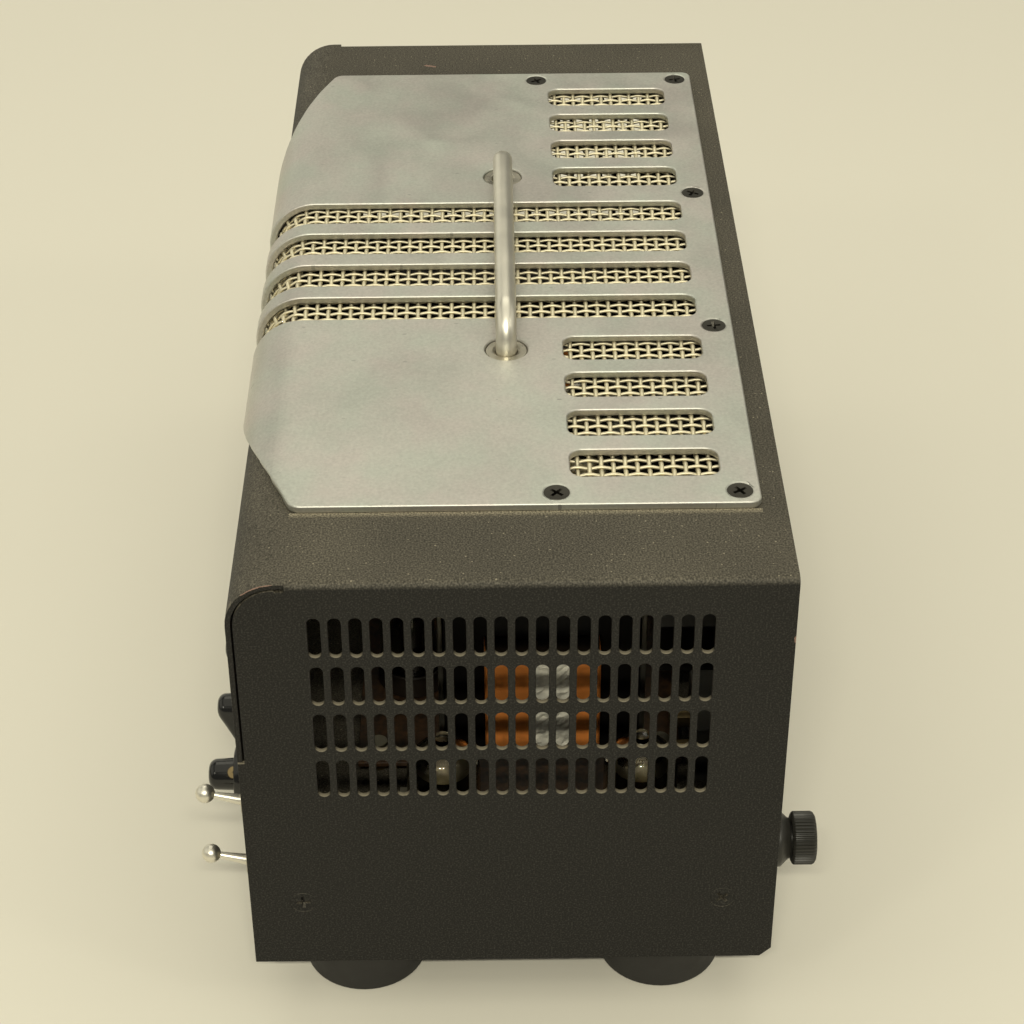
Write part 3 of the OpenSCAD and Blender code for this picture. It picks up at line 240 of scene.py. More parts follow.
def dust_lines_and_lit_lips(tree, place, ragged):
    """Dust in the corner along the ends of the grille plate, thick in the corner and thin beyond, and a pale
    painted highlight on the lower lips of the vents, as a factor."""
    line_w, reach, lip, lip_top, lip_low = 2.0 * MM, 9 * MM, 2.0 * MM, 6 * MM, 55 * MM
    plate_x = PLATE_HIGH.x
    at = add(tree, "SeparateXYZ", (place,)).outputs
    side = add(tree, "Math", (at["X"],), operation="ABSOLUTE")
    thick = add(tree, "MapRange", (side, plate_x, plate_x + line_w, 0.5, 0.0))
    thin = add(tree, "MapRange", (side, plate_x, plate_x + reach, 0.26, 0.0))
    line = add(tree, "Math", (thick, thin), operation="ADD")
    outside = add(tree, "Math", (side, plate_x - 0.2 * MM), operation="GREATER_THAN")
    behind = add(tree, "Math", (at["Y"], CASE_LOW.y + 15 * MM), operation="GREATER_THAN")
    before = add(tree, "Math", (at["Y"], PLATE_HIGH.y), operation="LESS_THAN")
    broken = add(tree, "MapRange", (ragged, 0.36, 0.62, 0.35, 1.0))
    for other in (outside, behind, before, broken):
        line = add(tree, "Math", (line, other), operation="MULTIPLY")
    cut = add(tree, "Math", (side, CASE_HIGH.x - lip), operation="GREATER_THAN")
    below = add(tree, "Math", (at["Z"], CASE_HIGH.z - lip_top), operation="LESS_THAN")
    above = add(tree, "Math", (at["Z"], lip_low), operation="GREATER_THAN")
    # Lower lips of the vents are painted pale: a painted highlight for the light that they catch
    lips_painted_highlight = 0.45
    for other in (cut, below, above):
        lips_painted_highlight = add(tree, "Math", (lips_painted_highlight, other), operation="MULTIPLY")
    return add(tree, "Math", (line, lips_painted_highlight), operation="MAXIMUM")


def satin_aluminium():
    """Blasted and anodised aluminium: a soft even sheen with a fine grain, faint warm and cool smears where
    hands and cloths have been, and short dull scratches."""
    made, tree, shader, place = start_material("satin_aluminium")
    grain = add(tree, "TexNoise", {"Vector": place, "Scale": 1 / (0.8 * MM), "Detail": 3.0})
    smear = add(tree, "TexNoise", {
        "Vector": place, "Scale": 1 / (30 * MM), "Detail": 4.0, "Distortion": 0.8,
    })
    stain = add(tree, "TexNoise", {"Vector": place, "Scale": 1 / (17 * MM), "Detail": 3.0})
    warmth = add(tree, "MapRange", (stain, 0.35, 0.65, 0.0, 1.0))
    base = palette().aluminium
    tint = add(tree, "Mix", {
        0: warmth, 6: (base[0] * 0.97, base[1], base[2] * 0.96, 1.0),
        7: (base[0] * 1.03, base[1] * 0.98, base[2] * 0.97, 1.0),
    }, data_type="RGBA")
    both = add(tree, "Math", (smear, grain), operation="ADD")
    tone = add(tree, "MapRange", (both, 0.7, 1.3, 0.87, 1.09))
    metal = add(tree, "VectorMath", {0: tint, "Scale": tone}, operation="SCALE")
    # Scratches near 0.4 by 1.2 mm, on two cells in five
    drawn_out = add(tree, "VectorMath", (place, (1.0, 0.35, 1.0)), operation="MULTIPLY")
    fleck = add(tree, "TexVoronoi", {"Vector": drawn_out, "Scale": 1 / (5 * MM)}, voronoi_dimensions="2D")
    chance = add(tree, "SeparateColor", (fleck.outputs["Color"],)).outputs
    radius = add(tree, "MapRange", (chance[1], 0.6, 1.0, 0.0, 0.05))
    dot = add(tree, "Math", (fleck.outputs["Distance"], radius), operation="LESS_THAN")
    faint = add(tree, "Math", (dot, chance[0]), operation="MULTIPLY")
    flecked = add(tree, "Mix", {0: faint, 6: metal, 7: shade(base, 0.6)}, data_type="RGBA")
    rough = add(tree, "MapRange", (smear, 0.3, 0.7, 0.42, 0.52))
    bump = add(tree, "Bump", {"Height": grain, "Strength": 0.15, "Distance": 0.05 * MM})
    feed(tree, shader, {"Base Color": flecked, "Roughness": rough, "Normal": bump, "Metallic": 1.0})
    return made


def plated_metal(name, rgba, rough_low, rough_high, patch_mm):
    """Plated or drawn metal: a clear reflection, dulled in patches by handling."""
    made, tree, shader, place = start_material(name)
    patch = add(tree, "TexNoise", {"Vector": place, "Scale": 1 / (patch_mm * MM), "Detail": 4.0})
    rough = add(tree, "MapRange", (patch, 0.3, 0.7, rough_low, rough_high))
    tone = add(tree, "MapRange", (patch, 0.3, 0.7, 0.0, 1.0))
    metal = add(tree, "Mix", {0: tone, 6: shade(rgba, 0.82), 7: shade(rgba, 1.0)}, data_type="RGBA")
    feed(tree, shader, {"Base Color": metal, "Roughness": rough, "Metallic": 1.0})
    return made


def moulding(name, rgba, rough_low, rough_high, grain_mm, depth):
    """Moulded plastic or rubber: one colour with a faint bloom and a grain left by the mould."""
    made, tree, shader, place = start_material(name)
    grain = add(tree, "TexNoise", {"Vector": place, "Scale": 1 / (grain_mm * MM), "Detail": 2.0})
    bloom = add(tree, "TexNoise", {"Vector": place, "Scale": 1 / (9 * MM), "Detail": 3.0})
    tone = add(tree, "MapRange", (bloom, 0.3, 0.7, 0.0, 1.0))
    body = add(tree, "Mix", {0: tone, 6: shade(rgba, 0.85), 7: shade(rgba, 1.25)}, data_type="RGBA")
    rough = add(tree, "MapRange", (bloom, 0.3, 0.7, rough_low, rough_high))
    bump = add(tree, "Bump", {"Height": grain, "Strength": depth, "Distance": 0.08 * MM})
    feed(tree, shader, {"Base Color": body, "Roughness": rough, "Normal": bump})
    return made


# Width of one band of a wave texture at a scale of 1
BAND = 0.314


def varnished_tape():
    """Polyester tape wound round a coil and dipped in varnish: a deep amber gloss with the edge of each
    turn showing as a darker line, and dark varnish over the ends of the winding."""
    made, tree, shader, place = start_material("varnished_tape")
    wrinkle = add(tree, "TexNoise", {
        "Vector": place, "Scale": 1 / (6 * MM), "Detail": 4.0, "Distortion": 1.2,
    })
    turn = add(tree, "TexWave", {
        "Vector": place, "Scale": BAND / (9 * MM), "Distortion": 1.0, "Detail": 2.0,
    }, bands_direction="Z").outputs[1]
    mixed = add(tree, "Math", (wrinkle, turn), operation="MULTIPLY")
    tone = add(tree, "MapRange", (mixed, 0.05, 0.5, 0.0, 1.0))
    tape = palette().tape
    amber = add(tree, "Mix", {0: tone, 6: shade(tape, 0.6), 7: shade(tape, 1.15)}, data_type="RGBA")
    facing = add(tree, "SeparateXYZ", (add(tree, "NewGeometry").outputs["Normal"],))
    upright = add(tree, "Math", (facing.outputs["Z"],), operation="ABSOLUTE")
    ends = add(tree, "MapRange", (upright, 0.4, 0.8, 0.0, 1.0))
    dipped = add(tree, "Mix", {0: ends, 6: amber, 7: linear("#1D1712")}, data_type="RGBA")
    bump = add(tree, "Bump", {"Height": wrinkle, "Strength": 0.5, "Distance": 0.6 * MM})
    feed(tree, shader, {"Base Color": dipped, "Normal": bump, "Roughness": 0.32})
    return made


def laminations():
    """Stacked and varnished core plates: dark brown-black, with a hairline between plates."""
    plate = 0.5 * MM
    made, tree, shader, place = start_material("varnished_laminations")
    # One line to each three plates, so that it shows
    stack = add(tree, "TexWave", {
        "Vector": place, "Scale": BAND / (3 * plate), "Distortion": 0.4,
    }, bands_direction="X").outputs[1]
    rust = add(tree, "TexNoise", {"Vector": place, "Scale": 1 / (7 * MM), "Detail": 5.0})
    tone = add(tree, "Math", (stack, rust), operation="MULTIPLY")
    core = add(tree, "Mix", {0: tone, 6: linear("#141211"), 7: linear("#4B443E")}, data_type="RGBA")
    bump = add(tree, "Bump", {"Height": stack, "Strength": 0.4, "Distance": 0.1 * MM})
    feed(tree, shader, {"Base Color": core, "Normal": bump, "Roughness": 0.45, "Metallic": 0.4})
    return made


def crumpled_paper():
    """Cream paper label: matt, crushed into small facets, a little stained by varnish."""
    made, tree, shader, place = start_material("label_paper")
    crush = add(tree, "TexVoronoi", {"Vector": place, "Scale": 1 / (3 * MM)}, feature="F1")
    stain = add(tree, "TexNoise", {"Vector": place, "Scale": 1 / (5 * MM), "Detail": 5.0})
    tone = add(tree, "MapRange", (stain, 0.4, 0.65, 0.0, 1.0))
    paper = palette().paper
    sheet = add(tree, "Mix", {0: tone, 6: shade(paper, 0.62), 7: paper}, data_type="RGBA")
    bump = add(tree, "Bump", {
        "Height": crush.outputs["Distance"], "Strength": 0.7, "Distance": 0.8 * MM,
    })
    feed(tree, shader, {"Base Color": sheet, "Normal": bump, "Roughness": 0.8})
    return made


def clear_glass(name, rgba):
    """Blown or pressed glass: clear, with faint waves left by the drawing."""
    made, tree, shader, place = start_material(name)
    ripple = add(tree, "TexNoise", {"Vector": place, "Scale": 1 / (8 * MM), "Detail": 1.0})
    bump = add(tree, "Bump", {"Height": ripple, "Strength": 0.08, "Distance": 0.3 * MM})
    feed(tree, shader, {
        "Base Color": rgba, "Normal": bump, "Roughness": 0.03, "IOR": 1.5, "Transmission Weight": 1.0,
    })
    return made


def circuit_board():
    """Paper laminate in phenolic resin, sawn and drilled: dark brown, with a satin face and faint fibres."""
    made, tree, shader, place = start_material("phenolic_laminate")
    fibre = add(tree, "TexNoise", {"Vector": place, "Scale": 1 / (1.6 * MM), "Detail": 4.0})
    tone = add(tree, "MapRange", (fibre, 0.35, 0.65, 0.0, 1.0))
    resin = add(tree, "Mix", {0: tone, 6: linear("#2A1D15"), 7: linear("#49331F")}, data_type="RGBA")
    bump = add(tree, "Bump", {"Height": fibre, "Strength": 0.2, "Distance": 0.05 * MM})
    feed(tree, shader, {"Base Color": resin, "Normal": bump, "Roughness": 0.45})
    return made


def on_roll(degrees):
    """Point on the near end's rolled edge, by its angle from the top of the roll."""
    angle = math.radians(degrees)
    return Vector((CASE_HIGH.x, ROLL_Y - ROLL_R * math.sin(angle), ROLL_Z + ROLL_R * math.cos(angle)))


def on_corner(height):
    """Point on the rear edge of the near end."""
    return Vector((CASE_HIGH.x, CASE_HIGH.y, height))


# Paint chips, each from, to and half-width: on the far top, on the rear edge of the near end, and a rubbed
# line round the near end's roll
CHIPS = (
    (Vector((-141.5, -26.0, 151.0)) * MM, Vector((-140.5, -23.0, 151.0)) * MM, 0.6 * MM),
    (on_corner(131.3 * MM), on_corner(132.5 * MM), 0.5 * MM),
    (on_roll(2), on_roll(16), 0.16 * MM),
    (on_roll(16), on_roll(28), 0.26 * MM),
    (on_roll(28), on_roll(40), 0.2 * MM),
)
MATERIALS = {}


def make_materials():
    """One material for each of the record's slots, and those of the small added pieces."""
    tones = palette()
    MATERIALS.update({
        "black_powder_coat": powder_coat(),
        "satin_aluminium": satin_aluminium(),
        "mesh_wire": plated_metal("drawn_steel_wire", tones.wire, 0.5, 0.62, 4),
        "black_oxide": plated_metal("black_oxide_steel", tones.oxide, 0.4, 0.55, 2),
        "worn_oxide": plated_metal("worn_oxide_steel", tones.worn_oxide, 0.34, 0.5, 2),
        "chrome_plate": plated_metal("satin_chrome", tones.chrome, 0.34, 0.4, 14),
        "nickel_plate": plated_metal("nickel_plate", tones.nickel, 0.22, 0.4, 3),
        "zinc_steel": plated_metal("zinc_plated_steel", linear("#A9A698"), 0.35, 0.55, 5),
        "foot_rubber": moulding("moulded_rubber", tones.rubber, 0.55, 0.75, 0.8, 0.35),
        "knob_phenolic": moulding("gloss_phenolic", tones.phenolic, 0.08, 0.18, 1.2, 0.05),
        "shaft_metal": plated_metal("turned_aluminium", linear("#B7B5AE"), 0.25, 0.40, 2),
        "pilot_glass": clear_glass("pressed_red_glass", tones.jewel),
        "black_nylon": moulding("moulded_nylon", linear("#262521"), 0.34, 0.50, 0.7, 0.2),
        "clear_glass": clear_glass("blown_glass", linear("#F3EEDF")),
        "pin_brass": plated_metal("aged_brass", tones.brass, 0.5, 0.62, 2),
        "board_laminate": circuit_board(),
        "socket_phenolic": moulding("brown_bakelite", linear("#211A14"), 0.4, 0.6, 0.6, 0.2),
        "anode_metal": plated_metal("carbonised_nickel", linear("#4E4D4A"), 0.45, 0.65, 3),
        "capacitor_sleeve": moulding("shrink_sleeve", linear("#24385C"), 0.25, 0.38, 2.0, 0.15),
        "core_lamination": laminations(),
        "coil_tape": varnished_tape(),
        "label_paper": crumpled_paper(),
        "getter": plated_metal("getter_flash", linear("#A8A294"), 0.22, 0.45, 5),
        "print_white": moulding("screen_print", tones.print_white, 0.5, 0.65, 1.0, 0.1),
    })


# Meshes


def finish_piece(obj, body, slot, *nodes):
    """Rides the piece on its body and stands it in for its nodes; the slot that it is given is not used."""
    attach(obj, body)
    if nodes:
        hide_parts(*nodes)


def object_from(bm, name, material):
    """A new object from a bmesh, with one material."""
    mesh = bpy.data.meshes.new(name)
    bm.to_mesh(mesh)
    bm.free()
    mesh.materials.append(material)
    obj = bpy.data.objects.new(name, mesh)
    bpy.context.scene.collection.objects.link(obj)
    return obj


def piece_from(bm, name, material, body, slot, *nodes):
    """A finished piece from a bmesh, with one of the materials."""
    finish_piece(object_from(bm, name, MATERIALS[material]), body, slot, *nodes)


def recoat(node):
    """Gives a CAD node that is shown as it is the material of its slot."""
    data = frame["nodes"][node].data
    data.materials.clear()
    data.materials.append(MATERIALS[NODE_SLOT[node]])


def settle(obj):
    """Replaces the object's mesh by its evaluated one and removes its modifiers."""
    held = obj.data
    graph = bpy.context.evaluated_depsgraph_get()
    made = bpy.data.meshes.new_from_object(obj.evaluated_get(graph), depsgraph=graph)
    obj.modifiers.clear()
    obj.data = made
    made.name = obj.name
    bpy.data.meshes.remove(held)
    return obj


def soften(bm, angle):
    """Smooth shading, with edges sharper than the angle kept crisp."""
    limit = math.radians(angle)
    for face in bm.faces:
        face.smooth = True
    for edge in bm.edges:
        edge.smooth = len(edge.link_faces) != 2 or edge.calc_face_angle(0) < limit


def node_copy(node):
    """A bmesh copy of a CAD node, with its doubled corners merged."""
    bm = bmesh.new()
    bm.from_mesh(frame["nodes"][node].data)
    bmesh.ops.remove_doubles(bm, verts=bm.verts, dist=CAD_NEAR)
    return bm


def refill(mesh, axis, value):
    """Fills the flat face at a place along an axis afresh, so that no sliver is left across it."""
    bm = bmesh.new()
    bm.from_mesh(mesh)
    flat = {face for face in bm.faces if all(abs(vert.co[axis] - value) < NEAR for vert in face.verts)}
    rim = [edge for edge in bm.edges if len({face in flat for face in edge.link_faces}) == 2]
    corners = list(dict.fromkeys(vert for edge in rim for vert in edge.verts))
    order = {vert: k for k, vert in enumerate(corners)}
    spots = [Vector((vert.co[axis - 2], vert.co[axis - 1])) / MM for vert in corners]
    links = [(order[edge.verts[0]], order[edge.verts[1]]) for edge in rim]
    bmesh.ops.delete(bm, geom=list(flat), context="FACES")
    points, sides, triangles, source, drawn, _ = delaunay_2d_cdt(spots, links, [], 0, 1e-6)
    ends = []
    for point, sources in zip(points, source):
        if sources:
            ends.append(corners[sources[0]])
        else:
            spot = Vector((value, value, value))
            spot[axis - 2], spot[axis - 1] = point * MM
            ends.append(bm.verts.new(spot))
    for index in inside_outline(triangles, {frozenset(side) for side, held in zip(sides, drawn) if held}):
        face = bm.faces.new([ends[k] for k in triangles[index]])
        face.smooth = True
        face.normal_update()
        if face.normal[axis] * value < 0:
            face.normal_flip()
    bm.to_mesh(mesh)
    bm.free()


def inside_outline(triangles, walls):
    """Triangles that lie inside an outline and outside its holes: each wall crossed from the rim inwards
    changes outside to inside or back."""
    beside = {}
    for index, triangle in enumerate(triangles):
        for k in range(3):
            beside.setdefault(frozenset((triangle[k - 1], triangle[k])), []).append(index)
    inside = {}
    waiting = [(found[0], side in walls) for side, found in beside.items() if len(found) == 1]
    while waiting:
        index, state = waiting.pop()
        if index in inside:
            continue
        inside[index] = state
        triangle = triangles[index]
        for k in range(3):
            side = frozenset((triangle[k - 1], triangle[k]))
            waiting += [(other, state != (side in walls)) for other in beside[side] if other not in inside]
    return sorted(index for index, state in inside.items() if state)


def level(mesh, flats):
    """Turns every corner on a flat face to that face's own normal, so that it shades flat up to its edge."""
    normals = [corner.vector.copy() for corner in mesh.corner_normals]
    for axis, value in flats:
        out = Vector((0, 0, 0))
        out[axis] = math.copysign(1, value)
        on_flat = {
            index for face in mesh.polygons if face.normal.dot(out) > 0.999 for index in face.vertices
            if abs(mesh.vertices[index].co[axis] - value) < NEAR
        }
        for corner, loop in enumerate(mesh.loops):
            if loop.vertex_index in on_flat:
                normals[corner] = out
    mesh.normals_split_custom_set(normals)


def dress(node, edge, steps, flats=()):
    """A finished copy of a CAD node in its place: edges rounded by that much, smooth elsewhere. Each of
    its great flat faces is named by an axis and a place along it."""
    slot = NODE_SLOT[node]
    bm = node_copy(node)
    bmesh.ops.dissolve_limit(
        bm, angle_limit=math.radians(0.4), verts=bm.verts, edges=bm.edges, delimit={"NORMAL"}
    )
    soften(bm, 180 if edge else 35)
    obj = object_from(bm, node + "_dressed", MATERIALS[slot])
    if edge:
        rounding = obj.modifiers.new("rounding", "BEVEL")
        rounding.width = edge
        rounding.segments = steps
        rounding.limit_method = "ANGLE"
        rounding.angle_limit = math.radians(38)
        rounding.use_clamp_overlap = False
        settle(obj)
        # A sharp corner's rounding is held inside the frame's own box
        low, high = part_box(node)
        for vert in obj.data.vertices:
            vert.co = [min(max(at, least), most) for at, least, most in zip(vert.co, low, high)]
        for axis, value in flats:
            refill(obj.data, axis, value)
        # Large faces keep their own normal, so that they shade flat up to their rounded edges
        weighted = obj.modifiers.new("flat_faces", "WEIGHTED_NORMAL")
        weighted.weight = 100
        settle(obj)
        if flats:
            level(obj.data, flats)
    finish_piece(obj, NODE_BODY[node], slot, node)


# Rounding of the pieces' edges in millimetres, and the steps that it is drawn in
ROUNDING = {
    "handle_bushings": (0.35, 2), "handle_collars": (0.3, 2), "rubber_feet": (1.1, 3),
    "foot_screws": (0.25, 1), "toggle_bodies": (0.25, 2), "toggle_nuts": (0.3, 2), "input_jack": (0.3, 2),
    "speaker_jacks": (0.3, 2), "loop_jacks": (0.3, 2), "jack_nuts": (0.3, 2), "pot_nuts": (0.3, 2),
    "pilot_bezel": (0.3, 2), "mains_inlet": (0.6, 3), "inlet_pins": (0.3, 2), "fuse_holder": (0.35, 2),
    "fuse_nut": (0.3, 2), "tube_plates": (0.3, 1), "tube_sockets": (0.6, 2), "output_core": (0.4, 1),
    "mains_core": (0.4, 1), "output_coil": (1.2, 3), "mains_coil": (1.2, 3), "output_frame": (0.3, 1),
    "filter_capacitors": (0.8, 2), "main_board": (0.2, 1), "pot_bodies": (0.4, 1),
}


def dress_all(*nodes):
    """Finished copies of CAD nodes, each with its own rounding or none."""
    for node in nodes:
        edge, steps = ROUNDING.get(node, (0, 0))
        dress(node, edge * MM, steps)


def lathe(bm, outline, centre, axis, steps=48):
    """Turns an outline of (radius, distance along axis) about an axis; a radius of 0 closes an end."""
    turn = Vector((0, 0, 1)).rotation_difference(axis).to_matrix()
    rings = []
    for radius, along in outline:
        count = 1 if radius == 0 else steps
        rings.append([
            bm.verts.new(centre + turn @ Vector((
                radius * math.cos(2 * math.pi * k / steps), radius * math.sin(2 * math.pi * k / steps), along,
            )))
            for k in range(count)
        ])
    for low, high in zip(rings, rings[1:]):
        for k in range(steps):
            corners = [low[k % len(low)], low[(k + 1) % len(low)]]
            corners += [high[(k + 1) % len(high)], high[k % len(high)]]
            unique = list(dict.fromkeys(corners))
            if len(unique) > 2:
                bm.faces.new(unique)
    return rings


def arc(centre_r, centre_z, radius, start, end, steps):
    """Points of (radius, distance) along an arc, by its angles in degrees."""
    return [
        (centre_r + radius * math.cos(math.radians(start + (end - start) * k / steps)),
         centre_z + radius * math.sin(math.radians(start + (end - start) * k / steps)))
        for k in range(steps + 1)
    ]


def quarter(steps):
    """Angles of a quarter turn, in even steps."""
    return [math.radians(90 * k / steps) for k in range(steps + 1)]


def bridge(bm, low, high):
    """Faces between two rings of as many corners."""
    for k in range(len(low)):
        bm.faces.new((low[k - 1], low[k], high[k], high[k - 1]))


def merge_outward(bm, angle=None):
    """Merges doubles, turns every face outwards and, given an angle, softens all but the sharper edges."""
    bmesh.ops.remove_doubles(bm, verts=bm.verts, dist=NEAR)
    bmesh.ops.recalc_face_normals(bm, faces=bm.faces)
    if angle is not None:
        soften(bm, angle)


# Geometry Nodes trees


def start_tree(name, inputs):
    """A new geometry tree with a geometry socket each way and named inputs; returns it, what it is given
    and its end."""
    tree = bpy.data.node_groups.new(name, "GeometryNodeTree")
    tree.interface.new_socket("Geometry", in_out="INPUT", socket_type="NodeSocketGeometry")
    tree.interface.new_socket("Geometry", in_out="OUTPUT", socket_type="NodeSocketGeometry")
    for label, kind in inputs:
        tree.interface.new_socket(label, in_out="INPUT", socket_type=kind)
    return tree, add(tree, "NodeGroupInput").outputs, add(tree, "NodeGroupOutput")


def run_tree(obj, tree, values):
    """Runs a tree on an object with its named values, and keeps the mesh that comes out."""
    modifier = obj.modifiers.new(tree.name, "NODES")
    modifier.node_group = tree
    for socket in tree.interface.items_tree:
        if socket.in_out == "INPUT" and socket.name in values:
            modifier[socket.identifier] = values[socket.name]
    settle(obj)


def seed_object(name, points, turns=()):
    """An object of loose points, each with an attribute that says how far what stands there is turned."""
    mesh = bpy.data.meshes.new(name)
    mesh.from_pydata(points, [], [])
    if turns:
        held = mesh.attributes.new("turn", "FLOAT_VECTOR", "POINT")
        for k, value in enumerate(turns):
            held.data[k].vector = value
    obj = bpy.data.objects.new(name, mesh)
    bpy.context.scene.collection.objects.link(obj)
    return obj


def scatter_tree():
    """Stands a copy of one object on every point, turned as the point's attribute says."""
    tree, given, end = start_tree("scatter_on_points", [
        ("Piece", "NodeSocketObject"), ("Material", "NodeSocketMaterial"),
    ])
    piece = add(tree, "GeometryNodeObjectInfo", {"Object": given["Piece"]})
    turn = add(tree, "GeometryNodeInputNamedAttribute", {"Name": "turn"}, data_type="FLOAT_VECTOR")
    aim = add(tree, "FunctionNodeEulerToRotation", (turn,))
    stood = add(tree, "GeometryNodeInstanceOnPoints", {
        "Points": given["Geometry"], "Instance": piece.outputs["Geometry"], "Rotation": aim,
    })
    real = add(tree, "GeometryNodeRealizeInstances", (stood,))
    dressed = add(tree, "GeometryNodeSetMaterial", {0: real, "Material": given["Material"]})
    feed(tree, end, (dressed,))
    return tree


def scatter(name, template, places, turns, material):
    """Copies of a template mesh at places, as one object; the template is removed."""
    seed = seed_object(name, places, turns)
    run_tree(seed, scatter_tree(), {"Piece": template, "Material": material})
    bpy.data.objects.remove(template)
    return seed


def weave_tree():
    """Crimped wires woven along a path and across it, each over and under the others in turn."""
    tree, given, end = start_tree("woven_wire", [
        ("Path", "NodeSocketObject"), ("Left End", "NodeSocketVector"), ("Right End", "NodeSocketVector"),
        ("Gaps Along", "NodeSocketInt"), ("Gaps Across", "NodeSocketInt"),
        ("Radius Along", "NodeSocketFloat"), ("Radius Across", "NodeSocketFloat"),
        ("Crimp Along", "NodeSocketFloat"), ("Crimp Across", "NodeSocketFloat"),
        ("Material", "NodeSocketMaterial"),
    ])
    path = add(tree, "GeometryNodeObjectInfo", {"Object": given["Path"]})
    along = add(tree, "GeometryNodeMeshToCurve", (path.outputs["Geometry"],))
    across = add(tree, "GeometryNodeCurvePrimitiveLine", {
        "Start": given["Left End"], "End": given["Right End"],
    })
    share = add(tree, "GeometryNodeSplineParameter").outputs["Factor"]
    ahead = add(tree, "GeometryNodeInputTangent")
    outward = add(tree, "VectorMath", (ahead, (1, 0, 0)), operation="CROSS_PRODUCT")
    lean = add(tree, "FunctionNodeAlignRotationToVector", {"Vector": outward}, axis="Z", pivot_axis="X")
    joined = add(tree, "GeometryNodeJoinGeometry")
    # Facets round a wire, and rings of them to each gap
    facets, rings_per_gap = 7, 4.0
    for way, rail, other_way, row, rise, signs, turn in (
        ("Along", along, "Across", across, outward, (1.0, -1.0), {}),
        ("Across", across, "Along", along, (0, 0, 1), (-1.0, 1.0), {"Rotation": lean}),
    ):
        gaps = given["Gaps " + way]
        profile = add(tree, "GeometryNodeCurvePrimitiveCircle", {
            "Resolution": facets, "Radius": given["Radius " + way],
        })
        rings = add(tree, "Math", (gaps, rings_per_gap, 1.0), operation="MULTIPLY_ADD")
        fine = add(tree, "GeometryNodeResampleCurve", {"Curve": rail, "Count": rings})
        half_turns = add(tree, "Math", (gaps, math.pi), operation="MULTIPLY")
        angle = add(tree, "Math", (share, half_turns), operation="MULTIPLY")
        wave = add(tree, "Math", (angle,), operation="COSINE")
        height = add(tree, "Math", (wave, given["Crimp " + way]), operation="MULTIPLY")
        pair = add(tree, "GeometryNodeGeometryToInstance")
        for sign in signs:
            signed = add(tree, "Math", (height, sign), operation="MULTIPLY")
            shift = add(tree, "VectorMath", {0: rise, "Scale": signed}, operation="SCALE")
            waved = add(tree, "GeometryNodeSetPosition", {"Geometry": fine, "Offset": shift})
            wire = add(tree, "GeometryNodeCurveToMesh", {
                "Curve": waved, "Profile Curve": profile, "Fill Caps": True,
            })
            feed(tree, pair, (wire,))
        count = add(tree, "Math", (given["Gaps " + other_way], 1.0), operation="ADD")
        spots = add(tree, "GeometryNodeResampleCurve", {"Curve": row, "Count": count})
        stood = add(tree, "GeometryNodeInstanceOnPoints", {
            "Points": spots, "Instance": pair, "Pick Instance": True, **turn,
        })
        feed(tree, joined, (stood,))
    real = add(tree, "GeometryNodeRealizeInstances", (joined,))
    smooth = add(tree, "GeometryNodeSetShadeSmooth", (real,))
    dressed = add(tree, "GeometryNodeSetMaterial", {0: smooth, "Material": given["Material"]})
    feed(tree, end, (dressed,))
    return tree


# Pieces


class AMP_OT_finishes(bpy.types.Operator):
    """Materials of every surface, from the palette"""
    bl_idname = "amp.finishes"
    bl_label = "Finishes"

    def execute(self, context):
        make_materials()
        return {"FINISHED"}


class AMP_OT_case(bpy.types.Operator):
    """Folded steel cover and tray, with their cut edges eased and powder coated"""
    bl_idname = "amp.case"
    bl_label = "Case"

    def execute(self, context):
        dress("cover", sizes().sheet_edge, 2, flats=((0, CASE_LOW.x), (0, CASE_HIGH.x), (2, CASE_HIGH.z)))
        dress("chassis_tray", sizes().sheet_edge, 2)
        return {"FINISHED"}


class AMP_OT_grille_plate(bpy.types.Operator):
    """Satin aluminium plate on the top, with rounded edges round its rim and its slots"""
    bl_idname = "amp.grille_plate"
    bl_label = "Grille plate"

    def execute(self, context):
        dress("top_grille", sizes().plate_edge, 3, flats=((2, PLATE_HIGH.z),))
        return {"FINISHED"}


class AMP_OT_wire_mesh(bpy.types.Operator):
    """Woven wire under the plate: one panel behind the long slots and one behind each row of short ones"""
    bl_idname = "amp.wire_mesh"
    bl_label = "Wire mesh"

    def execute(self, context):
        tree = weave_tree()
        side_in, side_out, side_front, back, mid_x = mesh_panels()
        pitch, warp, weft = sizes().wire_pitch, sizes().warp_d, sizes().weft_d
        # The two sets touch where they cross; the warp takes most of the bend
        bend_warp = 0.76 * (warp + weft) / 2
        bend_weft = (warp + weft) / 2 - bend_warp
        radius = ROLL_R - bend_warp - warp / 2
        turns = quarter(24)
        over_roll = [(0, back, ROLL_Z + radius)]
        over_roll += [(0, ROLL_Y - radius * math.sin(a), ROLL_Z + radius * math.cos(a)) for a in turns]
        over_roll += [(0, ROLL_Y - radius, MESH_LOW.z)]
        flat = [(0, back, ROLL_Z + radius), (0, side_front, ROLL_Z + radius)]
        for name, left, right, route in (
            ("right", side_in, side_out, flat), ("left", -side_out, -side_in, flat),
            ("middle", -mid_x, mid_x, over_roll),
        ):
            path = seed_object("mesh_path", route)
            path.data.edges.add(len(route) - 1)
            for k, edge in enumerate(path.data.edges):
                edge.vertices = (k, k + 1)
            run = sum((Vector(b) - Vector(a)).length for a, b in zip(route, route[1:]))
            obj = seed_object("woven_wire_" + name, [(0, 0, 0)])
            run_tree(obj, tree, {
                "Path": path, "Left End": (left, 0, 0), "Right End": (right, 0, 0),
                "Gaps Along": round(run / pitch), "Gaps Across": round((right - left) / pitch),
                "Radius Along": weft / 2, "Radius Across": warp / 2,
                "Crimp Along": bend_weft, "Crimp Across": bend_warp, "Material": MATERIALS["mesh_wire"],
            })
            bpy.data.objects.remove(path)
            finish_piece(obj, CASE, "mesh_wire")
        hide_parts("wire_mesh")
        return {"FINISHED"}


